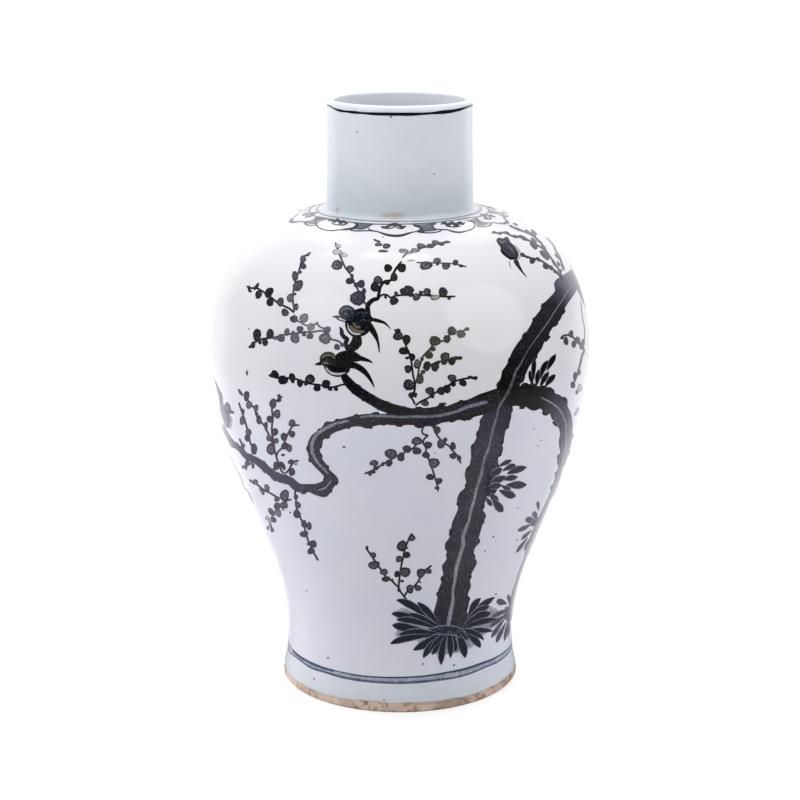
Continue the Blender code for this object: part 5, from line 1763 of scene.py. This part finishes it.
# every stroke of a bird in the order it is painted: photo pixels or an outline's name, ink, and look
swallowStrokes = [
    ("upperBody", ink(1.0, hue=0.05), {"tones": (1.0, 1.0, 1.0, 1.0, 0.94)}),
    ("upperHead", ink(0.84, hue=0.20), {"tones": (1.1, 1.05, 0.95, 0.92, 1.15), "layer": 1.5}),
    ([(338.8, 314), (340.5, 309), (344, 306.3), (348.5, 306), (353, 308.5), (355.5, 311.5)],
     ink(0.94, hue=0.15), {"width": 1.4, "layer": 2.5}),
    ([(340.4, 313), (342.4, 309.6), (346, 308), (350, 308.6), (352.6, 310.6)], ink(0.64, hue=0.6),
     {"width": 1.3, "layer": 2.5, "columns": 3}),
    ([(332, 316.6, 0.8), (336, 316.8, 2.6), (340, 317.2, 4.2)], ink(0.74), {"ends": (1, 1), "layer": 1.3}),
    ([(336.5, 318.6), (339.5, 320), (343, 321), (346, 322)], ink(0.88), {"width": 1.3, "layer": 2.5}),
    ([(342.6, 316), (342.8, 313), (345.5, 311.2), (348.6, 312.4), (349.3, 315.2)], ink(0.96),
     {"width": 1.4, "layer": 2.6}),
    ([(344.2, 314.6), (346.4, 313.4), (348, 315.8)], ink(0.66, hue=-0.3),
     {"width": 1.3, "layer": 2.7, "columns": 3}),
    ([(347, 319.5), (350, 317.5), (352.5, 320), (350, 322.5)], ink(0.95), {"width": 1.7, "layer": 2.6}),
    ([(346, 320), (345.8, 326), (348.2, 331.8), (352, 335.4), (357, 336.2), (363, 335.2), (369, 331.5)],
     ink(0.92), {"width": 1.3, "layer": 2.8}),
    ([(347.6, 323.5, 0.7), (348.4, 328, 1.4), (351, 331.8, 1.8), (355.5, 334, 1.8), (361, 334.2, 0.8)],
     ink(0.13, hue=-0.3), {"layer": 2.9, "edgeTone": 1.6}),
    ([(350, 325, 1.6), (353, 329.4, 3), (358, 331.6, 3.2), (365, 331.4, 2)], ink(0.80, hue=-1.0),
     {"layer": 2.4}),
    ([(353, 322.5), (356, 326.5), (361, 327.5)], ink(0.74, hue=-0.6), {"width": 2.6, "layer": 2.3}),
    ([(357, 317.5), (357.5, 313.5), (361, 312), (363.5, 314.5), (361.5, 317)], ink(0.80, hue=0.1),
     {"width": 0.8, "layer": 2.6, "columns": 3}),
    ([(363.5, 318), (364, 313.5), (366.8, 312.6), (368, 315.5)], ink(0.80, hue=0.1),
     {"width": 0.8, "layer": 2.6, "columns": 3}),
    ([(359.5, 321.5), (363, 319.6), (367, 321), (370, 319.6)], ink(0.80, hue=0.1),
     {"width": 0.8, "layer": 2.6, "columns": 3}),
    ([(355.5, 320.5), (357, 323), (360.5, 323.6)], ink(0.80, hue=0.1),
     {"width": 0.8, "layer": 2.6, "columns": 3}),
    ([(373, 319.5, 4.4), (379, 321, 3.4), (384, 322.6, 2.6), (388, 326, 1.4), (391, 329.5, 0.6)], ink(0.96),
     {"ends": (1, 1), "layer": 1.2}),
    ([(367.5, 322.5, 6), (371, 328, 6.4), (375, 334.5, 5), (377.6, 341, 2.8), (379, 348, 1.7),
     (379.2, 353.5, 0.7)], ink(0.96), {"ends": (1, 1), "layer": 1.1}),
    ("stub", ink(0.87), {"tones": (1.0, 1.0, 1.0, 1.0, 0.94), "layer": 0.8}),
    ([(339.3, 326.5, 0.8), (341.5, 330, 3.6), (342, 334, 4.6), (344, 337, 4.4), (347, 339, 5),
     (345.5, 343.5, 4.6), (349, 350, 6)], ink(0.86), {"ends": (1, 1), "layer": 0.8}),
    ("lowerBody", ink(0.92), {"tones": (1.0, 1.0, 1.0, 1.0, 0.94), "middle": (343, 363)}),
    ("lowerHead", ink(0.88, hue=-0.1), {"tones": (1.0, 0.97, 0.97, 1.0, 1.15), "layer": 1.5}),
    ([(320, 361), (321, 356.3), (324.5, 353), (329, 352.2), (333.5, 354), (336, 357.5)], ink(0.84, hue=-0.4),
     {"width": 1.3, "layer": 2.5}),
    ([(322.2, 358.4), (324.8, 355.6), (328.8, 354.6), (332.6, 356), (334.8, 358.8)], ink(0.60, hue=-0.6),
     {"width": 1.5, "layer": 2.6}),
    ([(323.5, 360.2), (326.5, 358.2), (330.5, 358.4), (333, 361)], ink(0.90), {"width": 2.6, "layer": 2.5}),
    ([(322, 363), (325.5, 363.2), (329, 362.4)], ink(0.64, hue=-0.3), {"width": 1.7, "layer": 2.6}),
    ([(328, 365.5), (334, 367.5), (341, 369), (347, 368)], ink(1.0), {"width": 4.6, "layer": 2.2}),
    ([(324, 366), (327.3, 371.6), (333, 375.4), (340, 376.2), (346, 374.6)], ink(0.94),
     {"width": 1.3, "layer": 2.8}),
    ([(325.6, 367, 0.9), (328.6, 371, 1.9), (333.5, 373.6, 2.3), (339.5, 374, 2.2), (346, 372.4, 1)],
     ink(0.17, hue=0.6), {"layer": 2.9, "edgeTone": 1.5}),
    ([(314.3, 364.5, 0.8), (317.5, 364, 2.6), (322, 363.4, 5)], ink(0.90), {"ends": (1, 1), "layer": 1.6}),
    ([(352, 355, 8), (358, 357.5, 5.6), (364, 359.2, 4.2), (369, 360.8, 2.6), (373, 363.2, 0.9)], ink(0.94),
     {"ends": (1, 1), "layer": 1.2}),
    ([(349, 364.5, 7), (356, 366, 6.4), (362, 369.5, 6), (367, 374.5, 4.6), (371, 380.5, 2.8),
     (374.5, 388, 0.8)], ink(0.97), {"ends": (1, 1), "layer": 1.2}),
    ([(344, 371, 4), (344, 376, 6), (347, 382, 8)], ink(0.97), {"ends": (1, 1), "layer": 0.7}),
]
rightBirdStrokes = [
    ("rightBody", ink(0.92, violet=0.35), {"tones": (1.0, 1.0, 1.0, 1.0, 1.04)}),
    ([(500.5, 249), (503, 253), (507, 256.3), (511, 258.6), (516, 258)], ink(0.97),
     {"width": 2.2, "layer": 1.8}),
    ([(499, 240.5), (503, 242.5), (506, 240.5)], ink(0.64, violet=0.5), {"width": 2.0, "layer": 1.8}),
    ([(508, 246), (512, 250), (514.5, 255)], ink(0.66, violet=0.3), {"width": 1.2, "layer": 1.8}),
    ([(515, 259, 5.4), (516.8, 263, 4.4), (519.3, 267.5, 3), (521.5, 270.8, 2), (527, 277.5, 0.6)],
     ink(0.84, hue=0.2), {"ends": (1, 0.5), "layer": 1.2}),
    ([(515, 245.2), (518, 249), (520, 253), (520.2, 256.5), (518, 259.5)], ink(0.42, hue=0.3),
     {"width": 1.1, "layer": 1.8}),
    ([(509.3, 260), (509.6, 264), (511.2, 269)], ink(0.40, hue=0.3), {"width": 1.0, "layer": 1.8}),
]
edgeBirdStrokes = [
    ("edgeBody", ink(0.74, violet=1.0), {"tones": (1.0, 1.0, 1.0, 1.0, 1.15), "middle": (223.5, 410)}),
    ("edgeHead", ink(0.78, violet=1.0), {"tones": (0.6, 0.9, 1.0, 1.2, 1.3), "layer": 1.6}),
    ([(229.5, 411.5, 4.5), (232, 412.2, 3.2), (234.8, 413.2, 1)], ink(0.70, violet=0.6),
     {"ends": (0.5, 0.5), "layer": 1.4}),
    ([(231.2, 416), (231.8, 423), (230, 430)], ink(0.40, violet=0.8), {"width": 1.0, "layer": 1.8}),
    ([(220.5, 422), (223, 429), (225.5, 433.5)], ink(0.40, violet=0.8), {"width": 0.9, "layer": 1.8}),
]


def paintBird(brush, strokes):
    for line, paint, look in strokes:
        if isinstance(line, str):
            brush.patch(birdPicks[line], paint, **look)
        else:
            brush.stroke(line, paint, **look)


# cloud collar under the neck, photo pixels; lappets are a tenth of a turn apart
collarPicks = {
    "pitch": 36.0,
    "middleTurn": -4.0,
    "outlines": {
        "left": [(322, 218.3), (316.5, 220), (315.5, 223.5), (318, 227), (324, 229.7), (331, 230.6),
            (340, 229.8), (348, 228.8), (355, 226.3), (356.5, 223.8), (353, 222)],
        "middle": [(372, 225), (367.8, 227.2), (369.5, 229.5), (374, 231), (378, 231.8), (383, 234),
            (389, 235.5), (400, 235.5), (405, 234.7), (411, 232.5), (417, 231.3), (420.6, 229), (419, 226.6),
            (414, 225)],
        "right": [(436, 223.8), (432.6, 225.8), (434.5, 228.4), (440, 229.6), (447, 229.8), (453, 231.4),
            (460, 232), (467, 230.8), (472.6, 228.8), (475.2, 225.4), (473.4, 222.4), (469, 220.6)],
    },
    "thick": {
        "left": [(341, 230, 1.2), (349, 229, 2), (356, 228.5, 1.2)],
        "middle": [(379, 231.8, 1), (384, 234, 2), (392, 235.6, 2.4), (401, 235.5, 2.4), (408, 233.6, 2),
            (413, 232, 1)],
        "right": [(448, 230.2, 1), (454, 231.8, 1.8), (461, 232.2, 1.8), (467, 231, 1)],
    },
    "scribbles": {
        "left": [(328, 221.4, 1.2), (331, 219.8, 2.4), (334, 221.6, 2.8), (337.5, 219.8, 2.8),
            (340.5, 222.6, 3.2), (344, 221.4, 2.8), (346.5, 223.6, 2), (348.5, 223, 1)],
        "middle": [(380.5, 226.4, 1.2), (384, 227.6, 2.6), (387.5, 226.6, 2.4), (390.5, 225, 2.8),
            (395, 224.4, 3.2), (399, 225.2, 2.8), (402, 227.2, 2.8), (406.5, 226.2, 1.2)],
        "right": [(440.5, 224.8, 1.2), (444, 222.8, 2.6), (448, 224.8, 3.2), (452, 222.8, 3.2),
            (456, 224.8, 3.4), (460, 222.8, 3), (463, 224, 2.4), (465, 222, 1.2)],
    },
    "curls": {
        "left": [(331, 223.2), (336, 224.6), (342, 225), (346, 224.6)],
        "middle": [(386, 228.6), (391, 228.2), (395, 226.8), (399.5, 228.4), (404, 228.6)],
        "right": [(446, 226.2), (451, 226.8), (456, 226.8), (461, 226)],
    },
    "wedges": {
        "leftMiddle": [(354, 222.6), (362, 223.2), (370, 224), (374, 224.6), (369, 226), (366.5, 228.4),
            (361, 229.8), (355, 229.3), (351, 228.8), (355.5, 227.3), (357.8, 225.2)],
        "middleRight": [(413, 224.8), (426, 224.3), (437, 223), (432.4, 225.4), (433, 228), (438, 229.8),
            (434, 231), (425, 231.6), (418.5, 231.2), (421.6, 229)],
    },
    "brackets": [[(349, 229.2), (352, 230.4), (360, 231), (368, 230.7), (375, 231.2), (379, 231.8)],
        [(417, 232), (425, 232.8), (434, 232.6), (440, 231.2), (442, 230.2)]],
    "ring": [(316, 216.5, 1.4), (323, 217.6, 1.8), (330, 219, 2.0), (338, 220.4, 2), (345, 221.4, 2.2),
        (355, 222.7, 2.6), (370, 223.9, 2.6), (385, 224.3, 2.4), (400, 224.2, 2.2), (415, 223.9, 2.6),
        (430, 223, 2.6), (440, 222, 2.2), (450, 220.7, 1.9), (460, 219.3, 1.9), (470, 217.8, 1.7),
        (480, 216.5, 1.3)],
    "coveLine": [(324, 214.8, 3.4), (330, 216.3, 3.8), (345, 218.6, 4.2), (360, 220.3, 4.4),
        (380, 221.4, 4.4), (400, 221.6, 4.4), (420, 221.3, 4.4), (440, 219.8, 4.2), (455, 217.8, 4),
        (468, 215.4, 3.8), (474, 213.8, 3.4)],
}


def paintLappet(collar, side, wedge, bracket, faint=1.0):
    # a lappet's outline and curls, and the filled notch after it, darkest where it starts
    look, violet = collarPicks, 2 * (1 - faint)
    dark = ink(0.94 * faint, violet=violet)
    collar.stroke(look["outlines"][side], dark, width=1.2, layer=1.2, step=1.2, edgeTone=0.66)
    collar.stroke(look["thick"][side], dark, layer=1.4, step=1.2)
    collar.stroke(look["scribbles"][side], dark, layer=1.6, step=1.0)
    collar.stroke(look["curls"][side], dark, width=1.2, layer=1.7, step=1.0)
    if wedge:
        notch = look["wedges"][wedge]
        wash = ink(0.66 * faint, hue=0.35, violet=violet)
        collar.patch(notch, wash, tones=(0.92, 0.94, 1.0, 1.05, 1.2), layer=0.8, step=1.2)
        collar.stroke([notch[0], notch[-1], notch[-2], notch[-3]], dark, width=2.2, layer=1.0, step=1.0)
        collar.stroke(look["brackets"][bracket], dark, width=1.2, layer=1.5, step=1.2)


def paintCollar():
    # the three lappets that face the camera follow the photo; seven more repeat the middle one round the back
    collar, look = Brushwork("cloudCollar"), collarPicks
    collar.lineRound(look["coveLine"], ink(0.34, hue=0.35), 61, edgeTone=0.6, layer=0.2)
    collar.lineRound(look["ring"], ink(0.92, hue=0.25), 63, layer=1.4, edgeTone=0.7)
    for side, wedge, bracket in (("left", "leftMiddle", 0), ("middle", "middleRight", 1), ("right", None, 0)):
        paintLappet(collar, side, wedge, bracket)
    middle, pitch = look["middleTurn"], look["pitch"]
    for place in range(2, 9):
        collar.moveTo(about=middle, to=middle + pitch * place, mirrored=place % 3 == 1)
        paintLappet(collar, "middle", "middleRight", 1, faint=0.72 if place in (2, 8) else 1.0)
    for place in (1, -2):
        collar.moveTo(about=middle, to=middle + pitch * place)
        collar.patch(look["wedges"]["middleRight"], ink(0.50, violet=0.7), layer=0.8, step=1.2)
        collar.stroke(look["brackets"][1], ink(0.60, violet=0.5), width=1.1, layer=1.5, step=1.2)
    collar.finish()


# lines round the foot and the lip, photo pixels (x, y, width)
linePicks = {
    "footUpper": [(341, 672, 1.2), (355, 675, 1.8), (375, 677, 1.8), (400, 677.5, 1.8), (430, 675.5, 2),
        (450, 672, 2.2), (465, 669, 2.8), (480, 664, 2.8), (495, 658, 2.2), (505, 651.5, 1.8),
        (509, 647.5, 1.6)],
    "footUpperStart": [(292, 650, 1.6), (300, 657, 2), (308, 661.5, 2.2), (315, 665, 2.2), (325, 668.7, 2.2),
        (335, 671.5, 1.4)],
    "footLower": [(290, 652.5, 1.6), (300, 660, 2), (310, 667, 2.4), (325, 672, 2.6), (340, 676.5, 2.8),
        (355, 679.5, 2.8), (375, 681.7, 2.8), (400, 682.7, 2.8), (420, 681.8, 2.8), (440, 679.6, 2.6),
        (460, 676.2, 2.4), (475, 671.4, 2.2), (485, 667, 2), (500, 660.5, 1.8), (508, 653.5, 1.6)],
    "footWash": [(292, 652, 3.4), (300, 659, 4), (310, 664.5, 4.6), (325, 670.5, 5), (340, 674.5, 5.2),
        (355, 677.5, 5.4), (375, 679.6, 5.4), (400, 680.3, 5.4), (420, 679.4, 5.4), (440, 676.8, 5.4),
        (460, 672.8, 5.2), (475, 668.8, 4.8), (485, 665, 4.6), (500, 658.5, 4), (508, 651.5, 3.4)],
    "lip": [(330.5, 106.3, 1.6), (334, 108.6, 1.8), (340, 110.6, 2.4), (347, 111.6, 2.0), (353, 112.2, 2.8),
        (362, 113, 2.0), (374, 113.8, 2.8), (386, 114.1, 3), (398, 114.2, 3), (410, 114.3, 3.2),
        (422, 113.8, 2.4), (434, 113, 2.4), (441, 112.3, 3.4), (448, 111.7, 3.4), (455, 110.6, 2.8),
        (462, 108.8, 2.4), (468, 106.6, 1.8)],
}
speckPicks = {  # iron specks, photo pixels (x, y, width, height)
    "dark": [(391, 117, 2, 2), (357, 132, 1.6, 1.6), (434, 174, 1.6, 1.6), (344, 447, 3.5, 2),
        (496, 594, 2, 2), (290, 512.5, 2, 2), (435, 453, 1.6, 1.6), (493.5, 536.5, 2, 2),
        (485, 551, 1.6, 1.6), (517, 540, 1.6, 1.6), (518, 508, 1.4, 1.4), (534, 429, 1.4, 1.4),
        (541, 440.5, 1.4, 1.4), (538, 446, 1.4, 1.4), (423, 664, 2, 2), (249, 329, 1.4, 1.8),
        (383, 237, 1.4, 1.4), (328, 658, 2, 2), (314, 679, 1.8, 1.8), (384, 700, 1.8, 1.8)],
    "brown": [(247, 373, 2.5, 6), (454, 665, 2.4, 2.2), (306.5, 591, 1.6, 1.8)],
}


def paintLines():
    lines, lip, specks = Brushwork("footLines"), Brushwork("lipLine"), Brushwork("ironSpots")
    lines.lineRound(linePicks["footWash"], ink(0.27, hue=1.0), 71, layer=0, edgeTone=0.5, wander=0.0002)
    lines.lineRound(linePicks["footLower"], ink(0.66, hue=1.0), 73, edgeTone=0.62)
    lines.lineRound(linePicks["footUpper"], ink(0.78, hue=0.8), 75, layer=1.4, edgeTone=0.66)
    lines.stroke(linePicks["footUpperStart"], ink(0.78, hue=0.9), layer=1.8, edgeTone=0.66)
    lip.lineRound(linePicks["lip"], ink(1.0, hue=0.10), 81, edgeTone=0.78, wander=0.0003)
    for kind, paint in (("dark", ink(0.72)), ("brown", ink(0.62))):
        centres, halves = blossomAxes(speckPicks[kind])
        specks.discs(centres, halves, (1.0, 1.0, 0.95, 0.6), paint, 91, layer=0, rings=(0.4, 0.75, 1.0),
                     sectors=8)
    for brush in (lines, lip, specks):
        brush.finish()


# the far side, out of the photo's sight: (degrees round, millimetres up, width in millimetres)
backPicks = {
    "skyBough": [(79, 341, 28), (83, 350, 25.5), (87, 358, 23.5), (93, 366, 21), (104, 376, 18),
        (118, 380, 16), (131, 374, 15), (143, 362, 14), (152, 346, 13), (160, 329, 11.5), (169, 315, 10.5),
        (181, 308, 9.5), (194, 311, 8.5), (205, 321, 7), (214, 333, 5.5), (223, 341, 3.5)],
    "hangingBough": [(141, 362, 9), (143, 342, 8.5), (149, 320, 8), (151, 298, 7.5), (146, 277, 6.5),
        (137, 262, 5.5), (127, 253, 4.5), (117, 251, 3)],
    "leftTip": [(-74.5, 239, 4.6), (-83, 250, 4.2), (-94, 258, 3.6), (-106, 262, 2.8), (-117, 261, 2)],
    "stripe": [(90, 365, 2.6), (104, 376, 2.6), (118, 380, 2.4), (131, 374, 2.2), (143, 361, 2),
        (152, 345, 1.8), (160, 328, 1.4)],
}
# twigs, the photo pixel they grow from, and where it comes: degrees round, metres up, reversed
carriedTwigs = [
    (["fanOne", "fanTwo", "fanThree", "fanFour"], (415, 406), 203, 0.318, False),
    (["hangingRight", "hangingMiddle", "hangingLeft"], (428, 424), 172, 0.309, False),
    (["fanOne", "fanTwo", "fanFour"], (415, 406), 119, 0.252, True),
    (["downOne", "downTwo"], (296, 491), 150, 0.300, False),
    (["uprightOne", "uprightTwo"], (262, 465), -100, 0.252, False),
    (["topLeft", "topLeftUp", "topLeftLink"], (327, 329), -136, 0.338, True),
    (["hangingRight", "hangingMiddle"], (428, 424), 104, 0.366, True),
    (["lowMiddle", "lowLeft", "lowRight"], (408, 602), 176, 0.098, True),
    (["uprightThree", "uprightFour", "uprightFive"], (284, 476), -128, 0.150, True),
]


def paintBack(boughs, stripes, stems, blossoms, tufts, birds):
    picks = backPicks
    skyInk = [ink(0.86, violet=0.8, bark=1.0)] + [ink(0.90, bark=1.0)] * 5
    boughs.wallStroke(picks["skyBough"], skyInk, ends=(0.1, 8), columns=9, layer=-0.4)
    boughs.wallStroke(picks["hangingBough"], ink(0.88, bark=0.8), ends=(1, 8), columns=7, layer=0.5)
    boughs.wallStroke(picks["leftTip"], ink(0.62, violet=0.5, bark=0.4), ends=(0.5, 6), layer=0.5)
    stripes.wallStroke(picks["stripe"], ink(0.36, hue=0.3, violet=0.3), ends=(6, 8), layer=2, edgeTone=1.5)
    for place, (names, root, to, height, mirrored) in enumerate(carriedTwigs):
        for brush in (stems, blossoms):
            brush.carry(root, to, height, mirrored)
        paintTwigs(stems, blossoms, names, 500 + place * 31)
    for to, height, mirrored in ((172, 0.074, True), (-128, 0.118, False)):
        tufts.carry((442, 629), to, height, mirrored)
        paintGrass(tufts, heart=False)
    tufts.carry((538, 386), 134, 0.386, False)
    paintTufts(tufts, ["boughTuft"])
    birds.carry((347, 380), -128, 0.262, True)
    paintBird(birds, swallowStrokes)
    birds.carry((508, 250), 176, 0.385, True)
    paintBird(birds, rightBirdStrokes)


films = ("plumTrunk", "plumBoughs", "barkStripes", "plumTwigs", "plumBlossoms", "leafTufts", "paintedBirds")
brushes = {name: Brushwork(name) for name in films}
trunk, boughs, stripes, stems, blossoms, tufts, birds = brushes.values()
paintTree(trunk, boughs, stripes)
paintTwigs(stems, blossoms, list(twigPicks), 100)
tufts.patch(grassHearts["trunkHeart"], ink(0.90, hue=0.1), tones=(1.0, 1.0, 1.0, 1.0, 0.9))
paintTufts(tufts, ["boughTuft", "trunkTuft", "violetTuft"])
paintGrass(tufts)
tufts.patch(grassHearts["rightHeart"], ink(0.66, violet=0.6), tones=(1.0, 1.0, 1.0, 0.95, 0.7))
paintTufts(tufts, ["rightGrass"])
for strokes in (swallowStrokes, rightBirdStrokes, edgeBirdStrokes):
    paintBird(birds, strokes)
print("front painted")
paintBack(boughs, stripes, stems, blossoms, tufts, birds)
for brush in brushes.values():
    brush.finish()
paintCollar()
paintLines()
